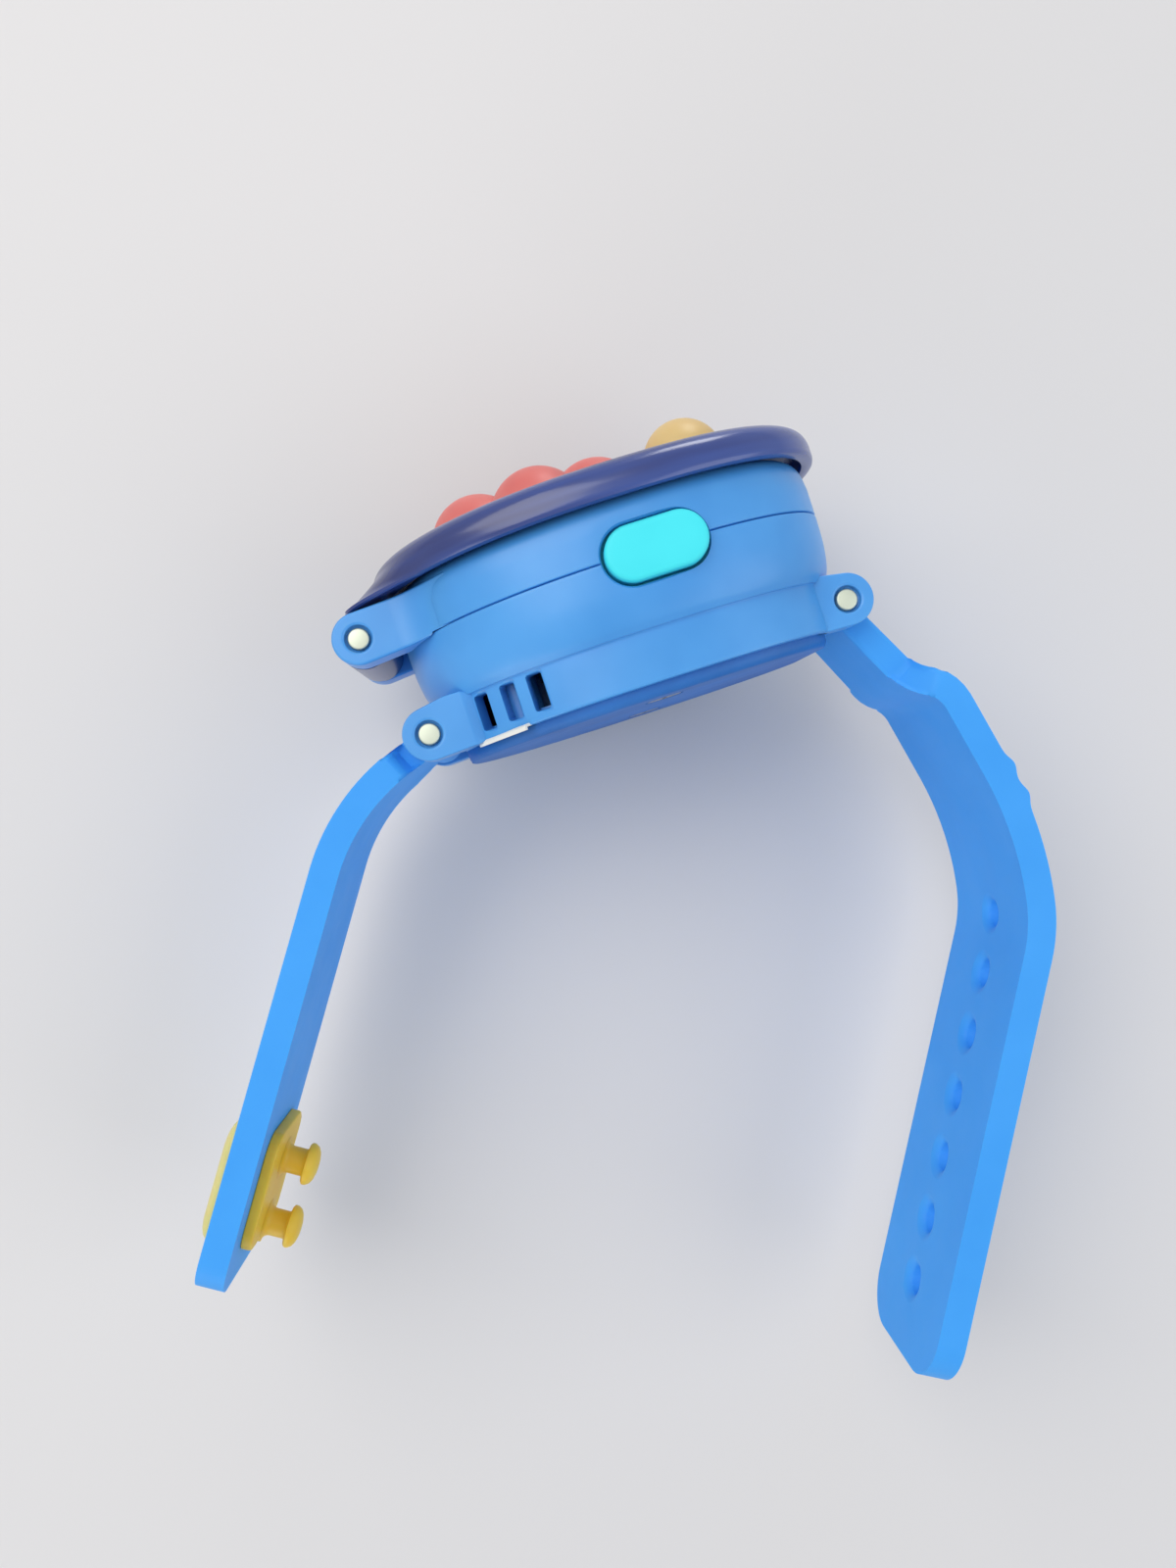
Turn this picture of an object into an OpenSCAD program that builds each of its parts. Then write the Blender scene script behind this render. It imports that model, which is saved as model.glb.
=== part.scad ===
// Toy wrist watch with a flip lid, lying on its nine o'clock side.
// X runs from the twelve o'clock end to the six o'clock end, Y from the back
// of the case out through the lid, and Z up through the side button.
// All sizes are in millimetres. Levels are measured along Y from the line
// through the two strap pins.

/* [Case] */
// reach of the case from its middle towards twelve o'clock
case_reach_12 = 25.7; // [22:0.1:28]
// reach of the case from its middle towards six o'clock
case_reach_6 = 24; // [22:0.1:28]
// width of the case across the wrist
case_width = 43.2; // [40:0.2:46]
// middle of the case, ahead of the middle of the strap pins
case_middle = 1.5; // [0:0.1:2]
// level of the parting line of the two case halves
seam_level = 10.3; // [9.6:0.1:11]
// level of the case's top face, under the lid
top_level = 17; // [16.7:0.1:17.6]
// thickness of the case walls
wall = 2; // [1.6:0.1:2.4]
// distance between the strap pins
pin_spacing = 48; // [47:0.5:49]

/* [Base band] */
// how far the base band is set in from the widest outline
band_inset = 1.7; // [1.2:0.1:2.2]
// level of the step where the pebble body meets the band
band_top = 2.8; // [2.4:0.1:3.2]
// how far the band reaches below the strap pins
band_drop = 2.7; // [2.5:0.1:3]
// width of each sound slot in the band
slot_width = 1.7; // [1:0.1:1.9]
// height of each sound slot
slot_height = 3.9; // [3:0.1:4]

/* [Lid] */
// level of the lid's lower edge
rim_level = 16.1; // [15.9:0.1:16.3]
// overhang of the lid beyond the case outline
lid_overhang = 1.6; // [1.4:0.1:2]
// height of the lid from its lower edge to its flat top
lid_height = 4.6; // [4.3:0.1:5.6]
// thickness of the lid
lid_wall = 1.5; // [1.2:0.1:1.6]
// distance of the hinge pin beyond the twelve o'clock strap pin
hinge_reach = 4.1; // [3.9:0.1:4.6]
// level of the lid's hinge pin
hinge_level = 12.2; // [11.9:0.1:12.4]
// overall width of the lid hinge
hinge_width = 23.2; // [20:0.2:25]

/* [Straps] */
// width of both straps
strap_width = 22; // [20:0.5:24]
// width of the strap's neck, between the ears
neck_width = 16; // [14:0.5:17]
// thickness of the straps
strap_thick = 3.2; // [2.6:0.1:3.6]
// straight length of the short strap, from its bend to its tip
short_length = 47.4; // [45:0.1:50]
// straight length of the long strap, from its bend to its tip
long_length = 49.5; // [49:0.1:52]
// distance between strap holes, and between the clasp's studs
hole_pitch = 7.5; // [7:0.1:8]
// diameter of the strap holes
hole_bore = 3.3; // [3.1:0.1:3.6]
// number of strap holes
hole_count = 7; // [4:1:7]
// diameter of the pins
pin_bore = 2.4; // [2:0.1:2.6]

/* [Button] */
// length of the side button along the case
button_length = 10.9; // [9:0.1:12]
// width of the side button across the parting line
button_width = 5.8; // [5:0.1:6.4]
// how far the button stands out of the case
button_proud = 0.9; // [0.8:0.1:1.4]
// travel of the button
button_travel = 0.8; // [0.4:0.1:0.9]

/* [Clasp] */
// length of the clasp plates along the strap
clasp_length = 13.6; // [12.6:0.2:15]
// width of the clasp plates
clasp_width = 14; // [12:0.5:16]
// diameter of the studs' heads
stud_head = 4.8; // [4.2:0.1:5]
// diameter of the studs' stems
stud_stem = 3.1; // [2.8:0.1:3.1]

/* [Decoration] */
// reach of the coral flower's petals from its middle
flower_reach = 13.6; // [12:0.2:14]
// height of the petals above the lid
petal_height = 4.4; // [3:0.1:4.8]
// radius of one petal
petal_radius = 5.4; // [5:0.1:5.6]
// height of the flower's middle above the lid
bloom_height = 5.4; // [4.6:0.1:5.8]
// radius of the flower's middle
bloom_radius = 4.2; // [3.8:0.1:4.4]
// radius of the yellow bud beside the flower
bud_radius = 4.6; // [4:0.1:4.8]
// height of the bud above the lid
bud_height = 5.2; // [3:0.1:5.4]

/* [Hidden] */
$fn = 48;

// roundness of the case outline at each end: 2 is an ellipse
round_12 = 2.15;
round_6 = 2.5;
outline_steps = 56;
// one overrun serves all cuts, and one thin slice every hull
over = 1;
slice = 0.02;
// clearances
gap = 0.3;
snug = 0.02;
running = 0.06;

pin_12 = [-pin_spacing/2, 0];
pin_6 = [pin_spacing/2, 0];
hinge = [pin_12.x - hinge_reach, hinge_level];
half_width = case_width/2;
// the case is cut flat on its sides by this little
side_flat = 0.15;
side_face = half_width - side_flat;

// the part stands on the lid's widest edge; the middle of its box is the origin
rest_drop = half_width + lid_overhang;
box_middle = [-15.029, -30.705];

// ears and barrels
ear_radius = 2.9;
barrel_radius = 2.6;
ear_gap = neck_width + 2*gap;
ear_wall = 4;
ear_face = ear_gap/2 + ear_wall;
ear_root = 4.6;
pocket_edge = pin_spacing/2 - barrel_radius - gap - 0.35*gap;
pocket_top = barrel_radius + 1.5*gap;
pin_radius = pin_bore/2;
pin_recess = 0.3;
lid_ear_wall = 4.2;
lid_ear_face = hinge_width/2;
lid_ear_inner = lid_ear_face - lid_ear_wall;
knuckle_half = lid_ear_inner - gap;

// levels inside the case
floor_wall = 1.5;
floor_level = -band_drop + floor_wall;
roof_wall = 1.6;
roof_level = top_level - roof_wall;
cover_thick = 1.4;
cover_inset = 1;
cover_level = -band_drop - cover_thick;
cell_radius = 5.8;
cell_height = 5.4;
contact_thick = 0.3;
cell_base = -band_drop + contact_thick;
cell_top = cell_base + cell_height;
well_roof = cell_top + contact_thick;
well_wall = 1.1;
cell_gap = 1;
cell_place = cell_radius + cell_gap/2;
well_half_x = 2*cell_radius + cell_gap/2 + gap;
well_half_z = cell_radius + gap;
board_level = well_roof + 2.3*well_wall;
board_thick = 1;
board_top = board_level + board_thick;
lcd_thick = 2.2;
ring_thick = 1;
lcd_level = roof_level - ring_thick - lcd_thick;

// screws and their bosses
boss_radius = 2.4;
boss_x = 15;
boss_side = 11.2;
boss_z = half_width - boss_side;
screw_radius = 0.8;
screw_head = 1.9;
head_height = 1;
screw_reach = 3.6;
cover_boss_side = 10;
cover_boss_z = half_width - cover_boss_side;
cover_head_height = 0.8;
cover_screw_reach = 4;

// how the body rolls in from the parting line to the band, as
// [share of the height, share of the inset]
roll_shares = [[0, 0.78], [0.1, 0.5], [0.26, 0.27], [0.5, 0.09], [0.75, 0.02], [1, 0]];
// the shoulder under the lid, as [share of the height, share of the wall]
shoulder_shares = [[0, 0], [0.45, 0], [0.72, 0.12], [0.86, 0.34], [0.95, 0.66], [1, 1]];
// the lid's edge and crown, as [share of its height, share of the crown's inset]
crown = 8.5;
lid_shares = [[0, 0.01], [0.12, 0], [0.42, 0.005], [0.6, 0.035], [0.73, 0.09], [0.84, 0.19],
    [0.93, 0.42], [1, 1]];
lid_top = rim_level + lid_height;

// outline of the case at an inset, as points along X and Z
function power(value, order) = value <= 0 ? 0 : pow(value, order);
function ring_points(inset) = [for (step = [0:outline_steps - 1])
    let (turn = 360*step/outline_steps, across = cos(turn), up = sin(turn),
        back = across < 0, order = 2/(back ? round_12 : round_6),
        reach = back ? case_reach_12 : case_reach_6)
    [case_middle + sign(across)*(reach - inset)*power(abs(across), order),
        sign(up)*(half_width - inset)*power(abs(up), order)]];
// half the width of the case outline at a place along X
function half_at(x, inset) =
    let (back = x < case_middle, order = back ? round_12 : round_6,
        reach = (back ? case_reach_12 : case_reach_6) - inset,
        part_share = min(1, abs(x - case_middle)/reach))
    (half_width - inset)*power(1 - power(part_share, order), 1/order);

// a flat plate of the case's outline between two levels
module plate(low, high, inset) {
    translate([0, high, 0])
        rotate([90, 0, 0])
            linear_extrude(high - low)
                polygon(ring_points(inset));
}

// a smooth shell through plates at the given [level, inset] pairs
module loft(levels) {
    hull()
        for (step = [0:len(levels) - 1])
            let (level = levels[step][0], first = step == 0)
            plate(first ? level : level - slice, first ? level + slice : level, levels[step][1]);
}

// a stadium of the given size, drawn flat
module stadium(length, width) {
    square([length - width, width], center = true);
    for (side = [-1, 1])
        translate([side*(length - width)/2, 0])
            circle(d = width);
}

// a block given by its low and high corners
module block(low, high) {
    translate(low)
        cube(high - low);
}

// a round bar along Z, or along Y
module bar_z(place, radius, low, high) {
    translate([place.x, place.y, low])
        cylinder(r = radius, h = high - low);
}
module bar_y(x, z, radius, low, high) {
    translate([x, high, z])
        rotate([90, 0, 0])
            cylinder(r = radius, h = high - low);
}

// copies at the four case screws, given as [x, z]
screw_places = [for (end = [-1, 1], side = [-1, 1]) [case_middle + end*boss_x, side*boss_z]];
cover_places = [for (side = [-1, 1]) [case_middle, side*cover_boss_z]];

// the button's hole and the switch behind it
button_ahead = 2.7;
button_x = case_middle + button_ahead;
button_place = [button_x, seam_level];
button_gap = 0.35;
flange_rim = 1.1;
flange_thick = 1;
flange_play = 0.15;
inner_face = half_width - wall;
flange_face = inner_face - flange_play;
stem_radius = 1.5;
stem_reach = 2.2;
stem_tip = flange_face - flange_thick - stem_reach;
touch = 0.05;
plunger_radius = 0.9;
plunger_length = 3.2;
switch_length = 6;
switch_depth = 3.6;
switch_plunger_out = 2;
switch_face = stem_tip - touch - switch_plunger_out;

module button_cut() {
    translate([button_place.x, button_place.y, inner_face - over])
        linear_extrude(wall + 2*over)
            stadium(button_length + 2*button_gap, button_width + 2*button_gap);
}

// one ear of a strap, on the side given by its sign
module strap_ear(end, side) {
    low = side > 0 ? ear_gap/2 : -ear_face;
    high = side > 0 ? ear_face : -ear_gap/2;
    root = end*(pin_spacing/2 - ear_root);
    hull() {
        bar_z([end*pin_spacing/2, 0], ear_radius, low, high);
        block([min(root, root + end*wall), -band_drop, low],
            [max(root, root + end*wall), band_top + 2*gap, high]);
    }
}

// the pocket between the ears that a strap's barrel turns in
module strap_pocket(end) {
    edge = end*pocket_edge;
    far = end*(pin_spacing/2 + 2*ear_root);
    block([min(edge, far), cover_level - over, -ear_gap/2],
        [max(edge, far), pocket_top, ear_gap/2]);
}

// the slots lie round the curved side of the band
slot_pitch = 3;
slot_from_pin = 6.4;
slot_foot = 1.6;
slot_depth = 3;
module sound_slots() {
    for (index = [0:2]) {
        x = pin_12.x + slot_from_pin + index*slot_pitch;
        z = half_at(x, band_inset);
        slope = atan2(half_at(x + slot_pitch/2, band_inset) - half_at(x - slot_pitch/2, band_inset),
            slot_pitch);
        translate([x, -slot_foot, z])
            rotate([0, -slope/2, 0])
                translate([-slot_width/2, 0, -slot_depth])
                    cube([slot_width, slot_height, 2*slot_depth]);
    }
}

module lower_case() {
    color([0.31, 0.6, 0.91])
    difference() {
        union() {
            intersection() {
                union() {
                    plate(-band_drop, band_top + gap, band_inset);
                    loft([for (pair = roll_shares)
                        [band_top + pair[0]*(seam_level - band_top), pair[1]*band_inset]]);
                }
                block([-case_width, -case_width, -side_face], [case_width, case_width, side_face]);
            }
            for (end = [-1, 1], side = [-1, 1])
                strap_ear(end, side);
        }
        difference() {
            union() {
                intersection() {
                    plate(floor_level, seam_level + over, band_inset + wall);
                    block([-pocket_edge + wall, floor_level - over, -case_width],
                        [pocket_edge - wall, seam_level + 2*over, case_width]);
                }
                plate(pocket_top + wall, seam_level + over, wall);
            }
            block([case_middle - well_half_x - well_wall, -band_drop, -well_half_z - well_wall],
                [case_middle + well_half_x + well_wall, well_roof + well_wall,
                    well_half_z + well_wall]);
            for (place = screw_places)
                bar_y(place.x, place.y, boss_radius, -band_drop, seam_level);
            for (place = cover_places)
                bar_y(place.x, place.y, boss_radius, -band_drop, board_level);
        }
        block([case_middle - well_half_x, -band_drop - over, -well_half_z],
            [case_middle + well_half_x, well_roof, well_half_z]);
        for (end = [-1, 1])
            strap_pocket(end);
        plate(cover_level - over, -band_drop, band_inset + cover_inset - gap);
        for (pin = [pin_12, pin_6])
            bar_z(pin, pin_radius + snug, -ear_face - over, ear_face + over);
        for (place = screw_places) {
            bar_y(place.x, place.y, screw_radius + gap, -band_drop - over, seam_level + over);
            bar_y(place.x, place.y, screw_head + gap, -band_drop - over,
                -band_drop + head_height + snug);
        }
        for (place = cover_places)
            bar_y(place.x, place.y, screw_radius + snug, -band_drop - over,
                -band_drop + cover_screw_reach);
        for (side = [-1, 1])
            block([case_middle + side*cell_place - tail_width/2 - snug, well_roof - over,
                tail_place - contact_thick/2 - snug],
                [case_middle + side*cell_place + tail_width/2 + snug, well_roof + well_wall + over,
                tail_place + contact_thick/2 + snug]);
        button_cut();
        flange_cut();
        sound_slots();
        tab_groove();
    }
}

// room for the button's flange behind the wall
module flange_cut() {
    translate([button_place.x, button_place.y, stem_tip])
        linear_extrude(inner_face - stem_tip)
            stadium(button_length + 2*flange_rim + 2*gap, button_width + 2*flange_rim + 2*gap);
}

// the lid ears and the upper half of the case
module upper_case() {
    color([0.31, 0.6, 0.91])
    difference() {
        union() {
            intersection() {
                loft([for (pair = shoulder_shares)
                    [seam_level + pair[0]*(top_level - seam_level), pair[1]*wall]]);
                block([-case_width, -case_width, -side_face], [case_width, case_width, side_face]);
            }
            difference() {
                for (side = [-1, 1])
                    lid_ear(side);
                plate(seam_level - ear_radius - over, seam_level, -gap);
            }
        }
        difference() {
            plate(seam_level - over, roof_level, wall);
            for (place = screw_places)
                bar_y(place.x, place.y, boss_radius, seam_level, roof_level);
        }
        plate(roof_level - over, top_level + over, window_inset + ledge);
        plate(window_level - snug, top_level + over, window_inset);
        for (place = screw_places)
            bar_y(place.x, place.y, screw_radius + snug, seam_level - over,
                seam_level + screw_reach);
        bar_z(hinge, pin_radius + snug, -lid_ear_face - over, lid_ear_face + over);
        button_cut();
        flange_cut();
    }
}

module lid_ear(side) {
    low = side > 0 ? lid_ear_inner : -lid_ear_face;
    high = side > 0 ? lid_ear_face : -lid_ear_inner;
    root = case_middle - case_reach_12 + wall;
    hull() {
        bar_z(hinge, ear_radius, low, high);
        block([root, seam_level, low], [root + wall, hinge_level + ear_radius, high]);
    }
}

// window, ring and display
window_inset = 7.2;
ledge = 1.2;
window_thick = 1;
window_level = top_level - window_thick;
ring_inset = 5.4;
display_half_x = boss_x - boss_radius - gap;
display_half_z = switch_face - switch_depth - gap;
view_edge = 1.7;
view_half_x = display_half_x - view_edge;
view_half_z = display_half_z - view_edge;
module display_window() {
    color([0.85, 0.92, 0.97, 0.4])
    plate(window_level, top_level, window_inset + snug);
}
module dial_ring() {
    color([0.2, 0.85, 0.95])
    difference() {
        plate(roof_level - ring_thick, roof_level, ring_inset);
        block([case_middle - view_half_x, roof_level - ring_thick - over, -view_half_z],
            [case_middle + view_half_x, roof_level + over, view_half_z]);
        for (place = screw_places)
            bar_y(place.x, place.y, boss_radius + gap, roof_level - ring_thick - over,
                roof_level + over);
    }
}
module lcd_panel() {
    color([0.62, 0.68, 0.6])
    block([case_middle - display_half_x, lcd_level, -display_half_z],
        [case_middle + display_half_x, lcd_level + lcd_thick, display_half_z]);
}
strip_width = 1.8;
module board_connectors() {
    color([0.9, 0.55, 0.6])
    for (side = [-1, 1])
        block([case_middle - view_half_x, board_top,
            side*(display_half_z - strip_width/2 - gap) - strip_width/2],
            [case_middle + view_half_x, lcd_level,
            side*(display_half_z - strip_width/2 - gap) + strip_width/2]);
}
module circuit_board() {
    color([0.1, 0.42, 0.2])
    difference() {
        intersection() {
            plate(board_level, board_top, band_inset + wall + gap);
            block([-pocket_edge + wall, board_level - over, -case_width],
                [pocket_edge - wall, board_top + over, case_width]);
        }
        for (place = screw_places)
            bar_y(place.x, place.y, boss_radius + gap, board_level - over, board_top + over);
    }
}
blob_radius = 4;
blob_height = 1.2;
blob_ball = (blob_radius*blob_radius + blob_height*blob_height)/(2*blob_height);
module chip_blob() {
    color([0.08, 0.08, 0.09])
    intersection() {
        translate([case_middle, board_top + blob_height - blob_ball, 0])
            sphere(r = blob_ball, $fn = 144);
        block([case_middle - 2*blob_radius, board_top, -2*blob_radius],
            [case_middle + 2*blob_radius, board_top + 2*blob_height, 2*blob_radius]);
    }
}
buzzer_height = 4.2;
buzzer_behind = 8.2;
buzzer_x = case_middle - buzzer_behind;
buzzer_hole = 0.8;
// it fills the room between the cell well and the wall
buzzer_room = half_at(buzzer_x - boss_radius, band_inset + wall) - well_half_z - well_wall;
buzzer_radius = buzzer_room/2 - gap;
buzzer_z = well_half_z + well_wall + buzzer_room/2;
module buzzer() {
    color([0.1, 0.1, 0.11])
    difference() {
        bar_y(buzzer_x, buzzer_z, buzzer_radius, board_level - buzzer_height, board_level);
        bar_y(buzzer_x, buzzer_z, buzzer_hole, board_level - buzzer_height - over,
            board_level - buzzer_height + buzzer_hole);
    }
}

// cells and their contacts; each tail rises through the well's roof
tail_width = 2;
tail_place = 3.4;
contact_length = 8;
contact_width = 9.6;
module battery_cells() {
    color([0.78, 0.79, 0.8])
    for (side = [-1, 1])
        bar_y(case_middle + side*cell_place, 0, cell_radius, cell_base, cell_top);
}
module contact_bridge() {
    color([0.8, 0.72, 0.45])
    block([case_middle - cell_place - contact_length/2, -band_drop, -contact_width/2],
        [case_middle + cell_place + contact_length/2, cell_base, contact_width/2]);
}
module cell_contact(side) {
    x = case_middle + side*cell_place;
    block([x - contact_length/2, cell_top, -contact_width/2],
        [x + contact_length/2, well_roof, contact_width/2]);
    block([x - tail_width/2, cell_top, tail_place - contact_thick/2],
        [x + tail_width/2, board_level, tail_place + contact_thick/2]);
}
module contact_plus() {
    color([0.8, 0.72, 0.45])
    cell_contact(1);
}
module contact_minus() {
    color([0.8, 0.72, 0.45])
    cell_contact(-1);
}

// the back cover and the screws
cover_round_shares = [[0, 1], [0.35, 0.3], [1, 0]];
cover_round = 0.7;
module back_cover() {
    color([0.16, 0.42, 0.72])
    difference() {
        intersection() {
            loft([for (pair = cover_round_shares)
                [cover_level + pair[0]*cover_thick,
                    band_inset + cover_inset + pair[1]*cover_round]]);
            block([-pocket_edge, cover_level - over, -case_width],
                [pocket_edge, over, case_width]);
        }
        for (place = cover_places) {
            bar_y(place.x, place.y, screw_radius + gap, cover_level - over, over);
            bar_y(place.x, place.y, screw_head + gap, cover_level - over,
                cover_level + cover_head_height + snug);
        }
    }
}
module cover_screws() {
    color([0.7, 0.71, 0.73])
    for (place = cover_places)
        difference() {
            union() {
                bar_y(place.x, place.y, screw_head, cover_level + snug,
                    cover_level + cover_head_height);
                bar_y(place.x, place.y, screw_radius, cover_level + snug,
                    -band_drop + cover_screw_reach - gap);
            }
            cross_cut(place, cover_level);
        }
}
module case_screws() {
    color([0.7, 0.71, 0.73])
    for (place = screw_places)
        difference() {
            union() {
                bar_y(place.x, place.y, screw_head, -band_drop + snug, -band_drop + head_height);
                bar_y(place.x, place.y, screw_radius, -band_drop + snug,
                    seam_level + screw_reach - gap);
            }
            cross_cut(place, -band_drop);
        }
}
cross_width = 0.5;
cross_depth = 0.5;
module cross_cut(place, level) {
    for (turn = [0, 1])
        block([place.x - (turn == 0 ? screw_head*0.7 : cross_width/2), level - over,
            place.y - (turn == 0 ? cross_width/2 : screw_head*0.7)],
            [place.x + (turn == 0 ? screw_head*0.7 : cross_width/2), level + cross_depth,
            place.y + (turn == 0 ? cross_width/2 : screw_head*0.7)]);
}

// the white pull tab comes out under the slots
tab_thick = 0.3;
tab_width = 7.4;
tab_length = 2.6;
tab_from_pin = 7.4;
tab_x = pin_12.x + tab_from_pin;
tab_turn = -45;
tab_edge = half_at(tab_x, band_inset) + gap;
module tab_groove() {
    translate([tab_x, -band_drop, tab_edge])
        rotate([0, tab_turn, 0])
            block([-tab_width/2 - snug, -over, -tab_length - snug],
                [tab_width/2 + snug, tab_thick + snug, tab_length]);
}
module pull_tab() {
    color([0.95, 0.95, 0.92])
    translate([tab_x, -band_drop, tab_edge])
        rotate([0, tab_turn, 0])
            block([-tab_width/2, snug, -tab_length], [tab_width/2, tab_thick, 0]);
}

// pins
module lid_hinge_pin() {
    color([0.86, 0.85, 0.8])
    bar_z(hinge, pin_radius, -lid_ear_face + pin_recess, lid_ear_face - pin_recess);
}
module strap_pin_12() {
    color([0.86, 0.85, 0.8])
    bar_z(pin_12, pin_radius, -ear_face + pin_recess, ear_face - pin_recess);
}
module strap_pin_6() {
    color([0.86, 0.85, 0.8])
    bar_z(pin_6, pin_radius, -ear_face + pin_recess, ear_face - pin_recess);
}

// the side button, its switch and the switch's plunger
module side_button() {
    color([0.33, 0.94, 1])
    translate([button_place.x, button_place.y, 0]) {
        translate([0, 0, flange_face - flange_thick])
            linear_extrude(flange_thick)
                stadium(button_length + 2*flange_rim, button_width + 2*flange_rim);
        translate([0, 0, flange_face - touch])
            linear_extrude(half_width - flange_face + button_proud/2 + touch)
                stadium(button_length, button_width);
        translate([0, 0, half_width])
            linear_extrude(button_proud)
                stadium(button_length - button_proud, button_width - button_proud);
        translate([0, 0, stem_tip])
            cylinder(r = stem_radius, h = stem_reach + flange_thick/2);
    }
}
module switch_body() {
    color([0.15, 0.15, 0.16])
    difference() {
        block([button_x - switch_length/2, board_top, switch_face - switch_depth],
            [button_x + switch_length/2, seam_level + 1.6*stem_radius, switch_face]);
        bar_z(button_place, plunger_radius + running,
            switch_face - (plunger_length - switch_plunger_out) - button_travel - touch,
            switch_face + over);
    }
}
module switch_plunger() {
    color([0.85, 0.2, 0.15])
    bar_z(button_place, plunger_radius, stem_tip - touch - plunger_length, stem_tip - touch);
}

// lid: a shallow tray with a rounded crown, a tongue and a hinge knuckle
tongue_reach = 0.8;
tongue_half = lid_ear_face - 0.7*gap;
tongue_foot = hinge_level + ear_radius + gap;
tongue_share = 0.6;
tongue_seat = 0.08;
tongue_blend = 4;
module lid_body(inset) {
    loft([for (pair = lid_shares)
        [rim_level + pair[0]*(lid_height - inset), inset - lid_overhang + pair[1]*crown]]);
}
module lid_shell() {
    edge = case_middle - case_reach_12 - lid_overhang;
    color([0.16, 0.2, 0.46])
    difference() {
        union() {
            difference() {
                union() {
                    lid_body(0);
                    hull() {
                        intersection() {
                            lid_body(tongue_seat);
                            block([edge, rim_level + tongue_seat, -tongue_half],
                                [edge + tongue_blend, rim_level + tongue_share*lid_height,
                                tongue_half]);
                        }
                        block([hinge.x - tongue_reach, tongue_foot, tongue_reach - tongue_half],
                            [edge + lid_wall, tongue_foot + tongue_reach,
                            tongue_half - tongue_reach]);
                    }
                }
                lid_body(lid_wall);
                plate(tongue_foot - over, rim_level + 2*slice, lid_wall - lid_overhang);
            }
            hull() {
                bar_z(hinge, ear_radius, -knuckle_half, knuckle_half);
                block([hinge.x - tongue_reach, tongue_foot, -knuckle_half],
                    [edge + lid_wall - gap, tongue_foot + tongue_reach, knuckle_half]);
            }
        }
        bar_z(hinge, pin_radius + running, -lid_ear_face, lid_ear_face);
    }
}

// the coral petals, the yellow middle and the bud, on the lid's flat top
petal_count = 6;
flower_behind = 6.5;
flower_x = case_middle - flower_behind;
bud_ahead = 11.3;
bud_x = case_middle + bud_ahead;
bud_side = 6;
bed_height = 1;
function ball_radius(radius, height) = (radius*radius + height*height)/(2*height);
module dome(x, z, radius, height) {
    ball = ball_radius(radius, height);
    intersection() {
        translate([x, lid_top + height - ball, z])
            sphere(r = ball, $fn = 96);
        bar_y(x, z, radius, lid_top, lid_top + 2*height);
    }
}
module lid_petals() {
    color([0.93, 0.42, 0.4])
    difference() {
        union() {
            for (petal = [0:petal_count - 1])
                let (turn = 360*(petal + 0.5)/petal_count, reach = flower_reach - petal_radius)
                dome(flower_x + reach*cos(turn), reach*sin(turn), petal_radius, petal_height);
            bar_y(flower_x, 0, petal_radius + bed_height, lid_top, lid_top + bed_height);
        }
        bar_y(flower_x, 0, bloom_radius + snug, lid_top - over, lid_top + 3*petal_height);
    }
}
module lid_bloom() {
    color([0.93, 0.8, 0.45]) {
        dome(flower_x, 0, bloom_radius, bloom_height);
        dome(bud_x, bud_side, bud_radius, bud_height);
    }
}

// paths of the straps: each pose is [x, y, heading]
function ahead(pose, length) =
    [pose.x + length*cos(pose.z), pose.y + length*sin(pose.z), pose.z];
function turned(pose, radius, turn) =
    let (side = sign(turn), heading = pose.z + turn,
        mid_x = pose.x - side*radius*sin(pose.z), mid_y = pose.y + side*radius*cos(pose.z))
    [mid_x + side*radius*sin(heading), mid_y - side*radius*cos(heading), heading];
function beside(pose, offset) =
    [pose.x - offset*sin(pose.z), pose.y + offset*cos(pose.z), pose.z];

module at_pose(pose) {
    translate([pose.x, pose.y, 0])
        rotate([0, 0, pose.z])
            children();
}

// the poses along a bend, after its first
bend_steps = 14;
function bent(pose, radius, turn) =
    [for (step = [1:bend_steps]) turned(pose, radius, turn*step/bend_steps)];

// the strap's body: its side outline along a path, through the strap's width
module strap_body(path) {
    last = len(path) - 1;
    linear_extrude(strap_width, center = true)
        polygon(concat([for (pose = path) flat_point(beside(pose, strap_thick/2))],
            [for (step = [0:last]) flat_point(beside(path[last - step], -strap_thick/2))]));
}
function flat_point(pose) = [pose.x, pose.y];

// cuts a flat outline, drawn along X and Z, through the strap
module through_strap() {
    rotate([90, 0, 0])
        linear_extrude(4*strap_thick, center = true)
            children();
}

// what is cut away beside the neck, up to its shoulders
module neck_cut(neck_length, shoulder) {
    far = strap_width - neck_width/2;
    through_strap()
        for (side = [-1, 1])
            polygon([[-strap_width, side*neck_width/2], [neck_length, side*neck_width/2],
                [neck_length + 2*shoulder, side*far], [-strap_width, side*far]]);
}

// what is cut away at the corners of the tip
module tip_cut(length, corner) {
    middle = strap_width/2 - corner + snug;
    through_strap()
        for (side = [-1, 1])
            difference() {
                translate([length - corner + snug, side > 0 ? middle : -middle - corner - over])
                    square(corner + over);
                translate([length - corner + snug, side*middle])
                    circle(r = corner);
            }
}

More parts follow.
